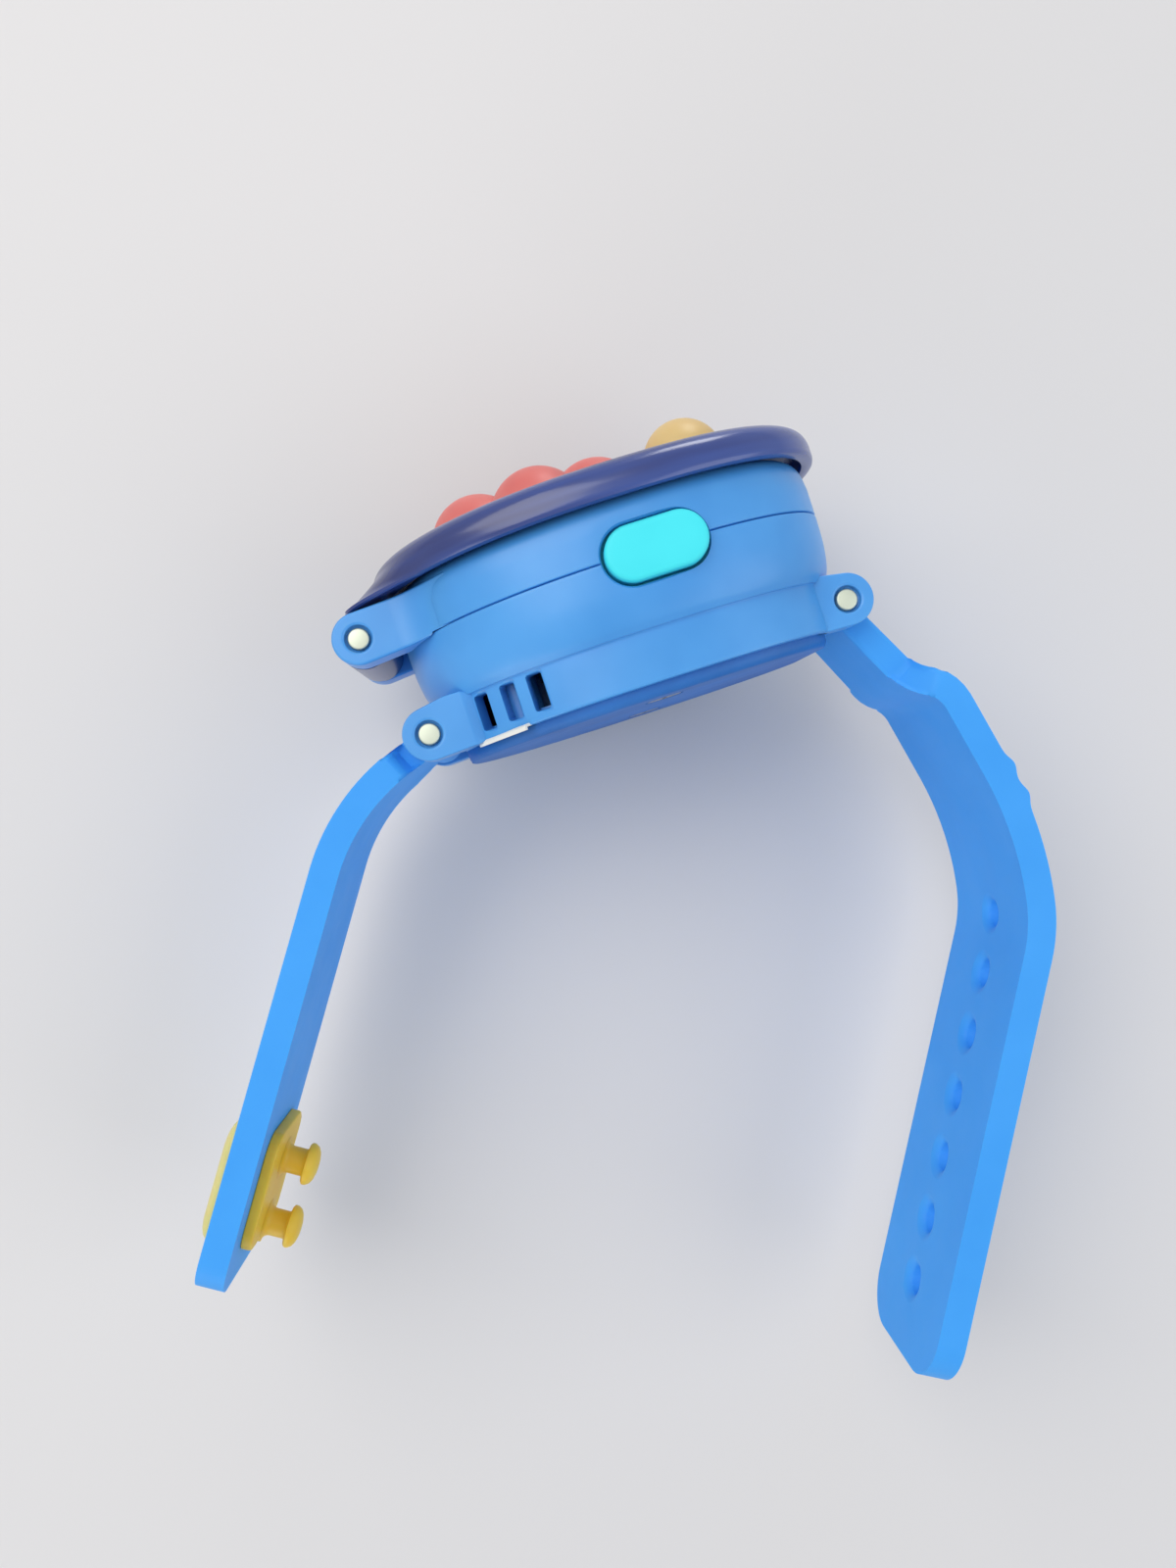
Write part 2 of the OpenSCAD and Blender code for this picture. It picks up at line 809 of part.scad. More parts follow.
// short strap: neck, one bend and a straight tail
short_angle = 204;
short_turn = 32.4;
short_neck = 6.3;
short_neck_free = 3.9;
short_shoulder = 1.4;
short_bend = 23;
short_corner = 4;
short_start = [pin_12.x, pin_12.y, short_angle];
short_bend_pose = ahead(short_start, short_neck);
short_tail_pose = turned(short_bend_pose, short_bend, short_turn);
stud_tip_gap = 5.7;
stud_places = [for (index = [0, 1]) short_length - stud_tip_gap - index*hole_pitch];
clasp_middle = (stud_places[0] + stud_places[1])/2 - 0.16*hole_pitch;
rivet_radius = 1.1;
rivet_places = [for (side = [-1, 1]) clasp_middle + side*0.3*clasp_length];
module strap_short() {
    color([0.31, 0.6, 0.91])
    difference() {
        union() {
            difference() {
                strap_body(concat([short_start, short_bend_pose],
                    bent(short_bend_pose, short_bend, short_turn),
                    [ahead(short_tail_pose, short_length)]));
                at_pose(short_start)
                    neck_cut(short_neck_free, short_shoulder);
                at_pose(short_tail_pose)
                    tip_cut(short_length, short_corner);
            }
            bar_z(pin_12, barrel_radius, -neck_width/2 + snug, neck_width/2 - snug);
        }
        bar_z(pin_12, pin_radius + running, -strap_width, strap_width);
        at_pose(short_tail_pose)
            for (x = rivet_places)
                bar_y(x, 0, rivet_radius + snug, -2*strap_thick, 2*strap_thick);
    }
}

// clasp: a domed cap outside, and a plate with two studs inside
plate_thick = 1.3;
cap_thick = 1.9;
cap_edge = 0.7;
clasp_corner = 2.5;
stem_length = 2.6;
head_thick = 1.5;
rivet_socket = 0.7;
module clasp_outline(shrink) {
    for (turn = [0, 1])
        square([clasp_length - 2*shrink - 2*turn*clasp_corner,
            clasp_width - 2*shrink - 2*(1 - turn)*clasp_corner], center = true);
    for (x_side = [-1, 1], z_side = [-1, 1])
        translate([x_side*(clasp_length/2 - shrink - clasp_corner),
            z_side*(clasp_width/2 - shrink - clasp_corner)])
            circle(r = clasp_corner);
}
module clasp_layer(low, high, shrink) {
    translate([clasp_middle, high, 0])
        rotate([90, 0, 0])
            linear_extrude(high - low)
                clasp_outline(shrink);
}
module clasp_cap() {
    color([0.9, 0.8, 0.4])
    at_pose(short_tail_pose)
        difference() {
            hull() {
                clasp_layer(-strap_thick/2 - cap_edge, -strap_thick/2, 0);
                clasp_layer(-strap_thick/2 - cap_thick + cap_edge/2,
                    -strap_thick/2 - cap_edge, cap_edge);
                clasp_layer(-strap_thick/2 - cap_thick,
                    -strap_thick/2 - cap_edge, 4*cap_edge);
            }
            for (x = rivet_places)
                bar_y(x, 0, rivet_radius + snug, -strap_thick/2 - rivet_socket - snug, 0);
        }
}
module clasp_studs() {
    color([0.88, 0.74, 0.28])
    at_pose(short_tail_pose) {
        clasp_layer(strap_thick/2, strap_thick/2 + plate_thick, 0);
        for (x = rivet_places)
            bar_y(x, 0, rivet_radius, -strap_thick/2 - rivet_socket, strap_thick/2 + plate_thick/2);
        for (x = stud_places)
            translate([x, strap_thick/2 + plate_thick, 0])
                rotate([-90, 0, 0])
                    rotate_extrude($fn = 40)
                        polygon([[0, -plate_thick/2], [stud_stem/2, -plate_thick/2],
                            [stud_stem/2, stem_length], [stud_head/2, stem_length],
                            [stud_head/2, stem_length + 0.3*head_thick],
                            [0.86*stud_head/2, stem_length + 0.7*head_thick],
                            [0.5*stud_head/2, stem_length + head_thick],
                            [0, stem_length + head_thick]]);
    }
}

// long strap: neck, a jog at the shoulder, two bends and a straight tail with the holes
long_angle = -64;
long_neck = 10.3;
long_neck_free = 10.6;
long_shoulder = 3.2;
long_corner = 5.5;
long_jog = 5;
long_jog_turns = [32.7, -47];
long_straight = 8.2;
long_bend_1 = 41.4;
long_bend_2 = 17.7;
long_turns = [-21.7, -21];
long_start = [pin_6.x, pin_6.y, long_angle];
long_jog_pose = ahead(long_start, long_neck);
long_shoulder_pose = turned(long_jog_pose, long_jog, long_jog_turns[0]);
long_body_pose = turned(long_shoulder_pose, long_jog, long_jog_turns[1]);
long_pose_1 = ahead(long_body_pose, long_straight);
long_pose_2 = turned(long_pose_1, long_bend_1, long_turns[0]);
long_tail_pose = turned(long_pose_2, long_bend_2, long_turns[1]);
last_hole = 8.3;
ridge_radius = 1.8;
ridge_height = 0.45;
ridge_turns = [-1, -5.8];
dish_rim = 0.6;
dish_radius = hole_bore/2 + dish_rim;
dish_depth = 0.5;
// the pose of a hole, counted back from the tip along the strap
function hole_pose(index) =
    let (x = long_length - last_hole - (hole_count - 1 - index)*hole_pitch)
    x >= 0 ? ahead(long_tail_pose, x)
        : turned(long_pose_2, long_bend_2, long_turns[1] - x/long_bend_2*180/PI);
module strap_hole(pose) {
    at_pose(pose) {
        bar_y(0, 0, hole_bore/2, -2*strap_thick, 2*strap_thick);
        bar_y(0, 0, dish_radius, -2*strap_thick, -strap_thick/2 + dish_depth);
    }
}
module strap_long() {
    color([0.31, 0.6, 0.91])
    difference() {
        union() {
            difference() {
                strap_body(concat([long_start, long_jog_pose],
                    bent(long_jog_pose, long_jog, long_jog_turns[0]),
                    bent(long_shoulder_pose, long_jog, long_jog_turns[1]), [long_pose_1],
                    bent(long_pose_1, long_bend_1, long_turns[0]),
                    bent(long_pose_2, long_bend_2, long_turns[1]),
                    [ahead(long_tail_pose, long_length)]));
                at_pose(long_start)
                    neck_cut(long_neck_free, long_shoulder);
                at_pose(long_tail_pose)
                    tip_cut(long_length, long_corner);
            }
            bar_z(pin_6, barrel_radius, -neck_width/2 + snug, neck_width/2 - snug);
            for (turn = ridge_turns)
                at_pose(turned(long_pose_1, long_bend_1, turn))
                    bar_z([0, strap_thick/2 + ridge_height - ridge_radius], ridge_radius,
                        -strap_width/2 + strap_thick/2, strap_width/2 - strap_thick/2);
        }
        bar_z(pin_6, pin_radius + running, -strap_width, strap_width);
        for (index = [0:hole_count - 1])
            strap_hole(hole_pose(index));
    }
}

module placed() {
    translate([-box_middle.x, -box_middle.y, rest_drop])
        children();
}

placed() upper_case();
placed() lower_case();
placed() back_cover();
placed() cover_screws();
placed() case_screws();
placed() lid_shell();
placed() lid_petals();
placed() lid_bloom();
placed() lid_hinge_pin();
placed() strap_pin_12();
placed() strap_pin_6();
placed() side_button();
placed() switch_body();
placed() switch_plunger();
placed() strap_short();
placed() strap_long();
placed() clasp_cap();
placed() clasp_studs();
placed() display_window();
placed() dial_ring();
placed() lcd_panel();
placed() board_connectors();
placed() circuit_board();
placed() chip_blob();
placed() buzzer();
placed() battery_cells();
placed() contact_bridge();
placed() contact_plus();
placed() contact_minus();
placed() pull_tab();
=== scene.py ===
"""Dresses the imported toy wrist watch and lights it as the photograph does.

Shapes are built in millimetres in the watch's own axes: X runs from the twelve
o'clock end to the six o'clock end, Y from the back out through the lid and Z up
through the side button. The middle of the strap pins is the zero point there.
Form.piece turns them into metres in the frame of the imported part.
"""
from __future__ import annotations

import logging
import math
from dataclasses import dataclass, field
from enum import Enum
from typing import Callable, Iterable, Sequence

import bmesh
import bpy
from mathutils import Matrix, Vector


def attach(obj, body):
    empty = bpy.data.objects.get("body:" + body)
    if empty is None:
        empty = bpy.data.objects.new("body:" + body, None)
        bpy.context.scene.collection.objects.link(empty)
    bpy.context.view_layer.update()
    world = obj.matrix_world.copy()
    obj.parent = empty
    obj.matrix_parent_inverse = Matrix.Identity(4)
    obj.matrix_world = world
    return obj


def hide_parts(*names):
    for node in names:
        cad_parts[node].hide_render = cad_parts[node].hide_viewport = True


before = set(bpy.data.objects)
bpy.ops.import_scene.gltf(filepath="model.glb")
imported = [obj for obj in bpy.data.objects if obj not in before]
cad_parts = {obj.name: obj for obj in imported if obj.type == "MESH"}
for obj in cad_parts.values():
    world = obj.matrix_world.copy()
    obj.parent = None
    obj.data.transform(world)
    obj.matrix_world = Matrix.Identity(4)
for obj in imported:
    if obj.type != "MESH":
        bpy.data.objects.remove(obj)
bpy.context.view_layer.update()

LOG = logging.getLogger("watch")
MM = 0.001
# past everything, for an end or a cut that runs out of the watch
FAR = 99.0
# lengths that count as none: for levels, for a curvature, at a lathe's axis, between its points
TINY = 1e-6
STRAIGHT = 1e-9
AXIS_RADIUS = 1e-4
WELD = 1e-3
# faces that turn by less, in radians, are one face
ONE_FACE = 0.02
# how coarse the slow drifts of tone and the patches of wear are, in millimetres
TONE_MM = 14.0
WEAR_MM = 5.0
# how rough clear gloss is, and how far light scatters in plastic, by colour and in millimetres
COAT_ROUGH = 0.06
SCATTER = (0.4, 0.7, 1.0)
SCATTER_MM = 1.2
Point = tuple[float, float]
Pose = tuple[float, float, float]


@dataclass(frozen=True)
class Sizes:
    """Sizes shared with the part's source, in millimetres."""

    offset: tuple[float, float, float] = (15.029, 30.705, 23.2)
    reach_12: float = 25.7
    reach_6: float = 24.0
    half_width: float = 21.6
    middle: float = 1.5
    round_12: float = 2.15
    round_6: float = 2.5
    side_face: float = 21.45
    seam: float = 10.3
    top: float = 17.0
    roof: float = 15.4
    wall: float = 2.0
    band_inset: float = 1.7
    band_top: float = 2.8
    band_drop: float = 2.7
    floor_level: float = -1.2
    cover_level: float = -4.1
    cover_inset: float = 1.0
    rim: float = 16.1
    overhang: float = 1.6
    button_x: float = 4.2
    button_length: float = 10.9
    button_width: float = 5.8
    lid_height: float = 4.6
    lid_wall: float = 1.5
    crown: float = 8.5
    window_inset: float = 7.2
    ledge: float = 1.2
    window_thick: float = 1.0
    pin_12: Point = (-24.0, 0.0)
    pin_6: Point = (24.0, 0.0)
    hinge: Point = (-28.1, 12.2)
    pin_radius: float = 1.2
    pin_recess: float = 0.3
    running: float = 0.06
    snug: float = 0.02
    ear_radius: float = 2.9
    ear_inner: float = 8.3
    ear_face: float = 12.3
    ear_edge: float = 0.65
    lid_ear_inner: float = 7.4
    lid_ear_face: float = 11.6
    knuckle_half: float = 7.1
    barrel_radius: float = 2.6
    pocket_edge: float = 20.995
    pocket_top: float = 3.05
    gap: float = 0.3
    neck: float = 16.0
    strap_width: float = 22.0
    strap_thick: float = 3.2
    boss_x: float = 15.0
    boss_z: float = 10.4
    boss_radius: float = 2.4
    cover_boss_z: float = 11.6
    well_half_x: float = 12.4
    well_half_z: float = 6.1
    well_roof: float = 3.3
    well_wall: float = 1.1


S = Sizes()


# ---------------------------------------------------------------- outlines


def power(value: float, order: float) -> float:
    """A power that is zero for what isn't above zero."""
    return value ** order if value > 0 else 0.0


def case_ring(inset: float, steps: int = 160, end: float = FAR) -> list[Point]:
    """The case outline at an inset.

    Args:
        inset: distance in from the widest outline.
        steps: number of points round it.
        end: half length at which it is cut square in X.

    Returns:
        Points as (x, z), from the six o'clock end towards the side button.
    """
    points = []
    for step in range(steps):
        turn = math.tau * (step + 0.5) / steps
        across, up = math.cos(turn), math.sin(turn)
        back = across < 0
        order = 2 / (S.round_12 if back else S.round_6)
        reach = (S.reach_12 if back else S.reach_6) - inset
        x = S.middle + math.copysign(reach * power(abs(across), order), across)
        z = math.copysign((S.half_width - inset) * power(abs(up), order), up)
        flat = S.side_face if inset >= 0 else FAR
        points.append((max(-end, min(end, x)), max(-flat, min(flat, z))))
    return points


def half_at(x: float, inset: float) -> float:
    """Half the case's width at a place along X.

    Args:
        x: the place.
        inset: distance in from the widest outline.

    Returns:
        The half width, or zero past the case's ends.
    """
    back = x < S.middle
    order = S.round_12 if back else S.round_6
    reach = (S.reach_12 if back else S.reach_6) - inset
    share = min(1.0, abs(x - S.middle) / reach)
    return (S.half_width - inset) * power(1 - power(share, order), 1 / order)


def slope_at(x: float, inset: float, reach: float) -> float:
    """How fast the case's side widens along X, taken over a reach to each side."""
    return (half_at(x + reach, inset) - half_at(x - reach, inset)) / (2 * reach)


def curve_through(points: Sequence[Point], per: int = 4) -> list[Point]:
    """A smooth curve through points, by centripetal Catmull-Rom spans.

    Args:
        points: the points it passes.
        per: spans between two of them.

    Returns:
        The curve's points, first and last ones included.
    """
    pts = [Vector(p) for p in points]
    pts = [2 * pts[0] - pts[1]] + pts + [2 * pts[-1] - pts[-2]]
    out: list[Point] = []
    for a, b, c, d in zip(pts, pts[1:], pts[2:], pts[3:]):
        t0 = 0.0
        t1 = t0 + max((b - a).length, TINY) ** 0.5
        t2 = t1 + max((c - b).length, TINY) ** 0.5
        t3 = t2 + max((d - c).length, TINY) ** 0.5
        for step in range(per):
            t = t1 + (t2 - t1) * step / per
            a1 = (t1 - t) / (t1 - t0) * a + (t - t0) / (t1 - t0) * b
            a2 = (t2 - t) / (t2 - t1) * b + (t - t1) / (t2 - t1) * c
            a3 = (t3 - t) / (t3 - t2) * c + (t - t2) / (t3 - t2) * d
            b1 = (t2 - t) / (t2 - t0) * a1 + (t - t0) / (t2 - t0) * a2
            b2 = (t3 - t) / (t3 - t1) * a2 + (t - t1) / (t3 - t1) * a3
            p = (t2 - t) / (t2 - t1) * b1 + (t - t1) / (t2 - t1) * b2
            out.append((p.x, p.y))
    out.append((pts[-2].x, pts[-2].y))
    return out


def arc(middle: Point, radius: float, start: float, end: float, steps: int) -> list[Point]:
    """Points on an arc between two angles in degrees."""
    angles = [math.radians(start + (end - start) * k / steps) for k in range(steps + 1)]
    return [(middle[0] + radius * math.cos(a), middle[1] + radius * math.sin(a)) for a in angles]


def eye(pin: Point) -> list[Point]:
    """The round end of an ear or knuckle about its pin."""
    return arc(pin, S.ear_radius, 0, 360, 56)


def stadium(length: float, width: float, steps: int = 20) -> list[Point]:
    """A stadium's outline about its middle."""
    reach = (length - width) / 2
    return arc((reach, 0), width / 2, -90, 90, steps) + arc((-reach, 0), width / 2, 90, 270, steps)


def soft_rectangle(length: float, width: float, corner: float, steps: int = 8) -> list[Point]:
    """A rectangle's outline with round corners, about its middle.

    Args:
        length: its size along the first axis.
        width: its size along the second.
        corner: radius of its corners.
        steps: facets in a corner.

    Returns:
        Points anticlockwise.
    """
    x, y = length / 2 - corner, width / 2 - corner
    points: list[Point] = []
    for number, (sx, sy) in enumerate(((1, -1), (1, 1), (-1, 1), (-1, -1))):
        points += arc((sx * x, sy * y), corner, -90 + 90 * number, 90 * number, steps)
    return points


def hull_outline(points: Iterable[Point]) -> list[Point]:
    """The convex outline round some points.

    Args:
        points: the points, in any order.

    Returns:
        Its corners, anticlockwise.
    """
    pts = sorted(set((round(x, 6), round(y, 6)) for x, y in points))

    def half(source: Iterable[Point]) -> list[Point]:
        """One side of the outline.

        Args:
            source: the points, sorted along the first axis.

        Returns:
            That side's corners, without the last one.
        """
        chain: list[Point] = []
        for p in source:
            while len(chain) > 1 and (
                (chain[-1][0] - chain[-2][0]) * (p[1] - chain[-2][1])
                - (chain[-1][1] - chain[-2][1]) * (p[0] - chain[-2][0])
            ) <= 0:
                chain.pop()
            chain.append(p)
        return chain[:-1]

    return half(pts) + half(reversed(pts))


# ------------------------------------------------------------------ finishes


def linear(code: str) -> tuple[float, float, float, float]:
    """An sRGB hex code as a linear colour.

    Args:
        code: the code, such as "#D9D9DB".

    Returns:
        Red, green, blue and an alpha of one.
    """
    values = [int(code[k:k + 2], 16) / 255 for k in (1, 3, 5)]
    return tuple(v / 12.92 if v <= 0.04045 else ((v + 0.055) / 1.055) ** 2.4
                 for v in values) + (1.0,)


@dataclass(frozen=True)
class Finish:
    """One real material.

    Attributes:
        name: the material it is.
        colour: sRGB code of the plastic or metal itself.
        shade: sRGB code of its darker, denser places; on the lid it is a painted shaded navy.
        rough: roughness where it is cleanest.
        haze: roughness added by handling, in patches.
        ior: index of refraction.
        coat: share of clear gloss on top.
        metal: one for metals.
        soft: share of light that scatters inside.
        grain_mm: size of the surface's texture.
        grain_depth: depth of that texture in millimetres.
        clear: share of light let through.
        streak: how far the pattern is drawn out along the part; 1 leaves it even.
        shine: strength of the plain reflection; 0.5 is what the index of refraction gives.
    """

    name: str
    colour: str
    shade: str
    rough: float
    haze: float = 0.06
    ior: float = 1.5
    coat: float = 0.0
    metal: float = 0.0
    soft: float = 0.0
    grain_mm: float = 0.5
    grain_depth: float = 0.0
    clear: float = 0.0
    streak: float = 1.0
    shine: float = 0.5

    def build(self) -> bpy.types.Material:
        """Makes the node material, once for each finish.

        Returns:
            The material.
        """
        made = bpy.data.materials.get(self.name)
        if made:
            return made
        mat = bpy.data.materials.new(self.name)
        mat.use_nodes = True
        tree = mat.node_tree
        place = add_node(tree, "ShaderNodeTexCoord", {})
        spread = add_node(tree, "ShaderNodeMapping", {
            "Vector": place.outputs["Object"],
            "Scale": (self.streak, 1 / self.streak, self.streak)}).outputs["Vector"]
        # slow drifts of tone, as moulded plastic has where it cooled last; drawn out along the
        # lid, they are painted streaks of reflection and shade
        tone = add_node(tree, "ShaderNodeTexNoise", {
            "Vector": spread, "Scale": 1 / (TONE_MM * MM), "Detail": 3.0, "Roughness": 0.55})
        drift = add_node(tree, "ShaderNodeMapRange", {
            "Value": tone.outputs["Fac"], "From Min": 0.35, "From Max": 0.7})
        colour = add_node(tree, "ShaderNodeMix", {
            "Factor": drift.outputs["Result"], "A": linear(self.colour),
            "B": linear(self.shade)}, data_type="RGBA")
        # patches dulled by fingers
        wear = add_node(tree, "ShaderNodeTexNoise", {
            "Vector": spread, "Scale": 1 / (WEAR_MM * MM), "Detail": 4.0, "Roughness": 0.6})
        dull = add_node(tree, "ShaderNodeMapRange", {
            "Value": wear.outputs["Fac"], "From Min": 0.35, "From Max": 0.65,
            "To Min": self.rough, "To Max": self.rough + self.haze})
        values = {
            "Base Color": colour.outputs["Result"], "Roughness": dull.outputs["Result"],
            "IOR": self.ior, "Specular IOR Level": self.shine, "Metallic": self.metal,
            "Coat Weight": self.coat, "Coat Roughness": COAT_ROUGH,
            "Subsurface Weight": self.soft, "Subsurface Radius": SCATTER,
            "Subsurface Scale": SCATTER_MM * MM, "Transmission Weight": self.clear}
        if self.grain_depth:
            grain = add_node(tree, "ShaderNodeTexNoise", {
                "Vector": spread, "Scale": 1 / (self.grain_mm * MM), "Detail": 2.0})
            bump = add_node(tree, "ShaderNodeBump", {
                "Height": grain.outputs["Fac"], "Strength": 1.0,
                "Distance": self.grain_depth * MM})
            values["Normal"] = bump.outputs["Normal"]
        feed(tree, tree.nodes["Principled BSDF"], values)
        return mat


def feed(tree: bpy.types.NodeTree, node: bpy.types.Node, values: dict) -> None:
    """Fills a node's inputs.

    Args:
        tree: the tree it is in.
        node: the node.
        values: input name or number to a value, or to the output that is linked to it.
    """
    for key, value in values.items():
        if isinstance(value, bpy.types.NodeSocket):
            tree.links.new(value, node.inputs[key])
        else:
            node.inputs[key].default_value = value


def add_node(tree: bpy.types.NodeTree, kind: str, values: dict, **settings: object
             ) -> bpy.types.Node:
    """Adds a node with its settings and links.

    Args:
        tree: the tree it goes in.
        kind: its type.
        values: what feed puts into its inputs.
        settings: attributes of the node itself.

    Returns:
        The node.
    """
    node = tree.nodes.new(kind)
    for key, value in settings.items():
        setattr(node, key, value)
    feed(tree, node, values)
    return node


class Finishes:
    """The real materials of the watch."""

    # ABS, satin from the mould: broad soft highlights, an even sky blue
    CASE = Finish("abs_sky_blue", "#4E9FE6", "#4293DC", 0.32, soft=0.12,
                  grain_mm=0.35, grain_depth=0.004)
    # ABS with a spark-eroded grain, drawn coarser than the real one so that it shows: a deeper,
    # dull blue that hides scratches
    BACK = Finish("abs_deep_blue", "#1F70C2", "#185CA8", 0.5, grain_mm=0.5, grain_depth=0.05)
    # tinted clear polystyrene, polished: sharp lights over a deep navy, its tone swinging in long
    # streaks between a lit blue and a shaded navy, painted in for the streaky reflections along
    # the lid
    LID = Finish("polystyrene_navy", "#304E9B", "#1B2663", 0.22, haze=0.03, ior=1.59, coat=0.15,
                 streak=0.3)
    # ABS, satin from the mould: warm coral with broad soft lights
    CORAL = Finish("abs_coral", "#DC7670", "#C9605D", 0.4, soft=0.1)
    # ABS, satin from the mould: warm cream yellow with broad soft lights
    CREAM = Finish("abs_cream_yellow", "#D9BE82", "#CFB074", 0.4, soft=0.1)
    # thermoplastic polyurethane, moulded: satin and slightly milky at its edges
    STRAP = Finish("tpu_blue", "#42A2F5", "#3C9CF0", 0.5, ior=1.49, soft=0.12, shine=0.25,
                   grain_mm=0.3, grain_depth=0.003)
    # silicone-soft ABS: flat bright turquoise with no shine
    BUTTON = Finish("abs_turquoise", "#42E8F4", "#38DEEC", 0.55)
    # acetal, moulded: waxy mustard that glows a little at its edges
    CLASP = Finish("acetal_mustard", "#E9C83F", "#DFB42C", 0.42, ior=1.48, soft=0.5)
    # acetal, moulded: the clasp's mustard painted paler, for the light that comes through the dome
    CLASP_CAP = Finish("acetal_pale_mustard", "#DCD590", "#D2C97E", 0.42, ior=1.48, soft=0.4)
    # steel wire, cut and tumbled: dull bright ends
    PIN = Finish("steel_wire", "#CDD4C5", "#BFC6B6", 0.5, metal=1.0,
                 grain_mm=0.4, grain_depth=0.006)
    # zinc-plated steel: cool grey with crisp lights
    SCREW = Finish("zinc_plated_steel", "#B5B7BC", "#9B9DA3", 0.3, metal=1.0)
    # cast acrylic: clear with a cold cast
    WINDOW = Finish("acrylic_clear", "#E8F3FA", "#E2EEF6", 0.04, haze=0.01, ior=1.49, clear=0.95)
    # printed card: flat even turquoise with no shine
    DIAL = Finish("card_turquoise", "#33C9DD", "#2BBCD1", 0.6)
    # polished liquid crystal glass: grey green with a hard sheen
    GLASS = Finish("liquid_crystal_glass", "#9CA68F", "#939D86", 0.15, haze=0.02, ior=1.52)
    # silicone, cut from sheet: dull rubbery pink
    ZEBRA = Finish("silicone_pink", "#D98C97", "#C97B87", 0.5)
    # glass-epoxy laminate under green mask: dark green under a thin gloss
    BOARD = Finish("epoxy_laminate_green", "#1C6B35", "#155A2B", 0.3, coat=0.3)
    # cast epoxy: black with a wet gloss
    EPOXY = Finish("epoxy_black", "#141416", "#0E0E10", 0.25)
    # nylon, moulded: dull black
    NYLON = Finish("nylon_black", "#222225", "#1B1B1E", 0.5)
    # nylon, moulded: satin red
    PLUNGER = Finish("nylon_red", "#D2352B", "#C02C23", 0.45)
    # nickel-plated steel, pressed: pale bright metal
    CELL = Finish("nickel_plated_steel", "#C9CACC", "#B9BABD", 0.22, metal=1.0)
    # phosphor bronze, rolled strip: warm gold metal
    BRONZE = Finish("phosphor_bronze", "#C9A45E", "#B8934E", 0.28, metal=1.0)
    # polyester film: even white with a slight sheen
    FILM = Finish("polyester_white", "#F0F0EA", "#E6E6DF", 0.4)


# --------------------------------------------------------------------- forms


class Cut(Enum):
    """How one form changes another."""

    AWAY = "DIFFERENCE"
    JOIN = "UNION"
    COMMON = "INTERSECT"


class Axis(Enum):
    """The axis that levels run along."""

    Y = "y"
    Z = "z"


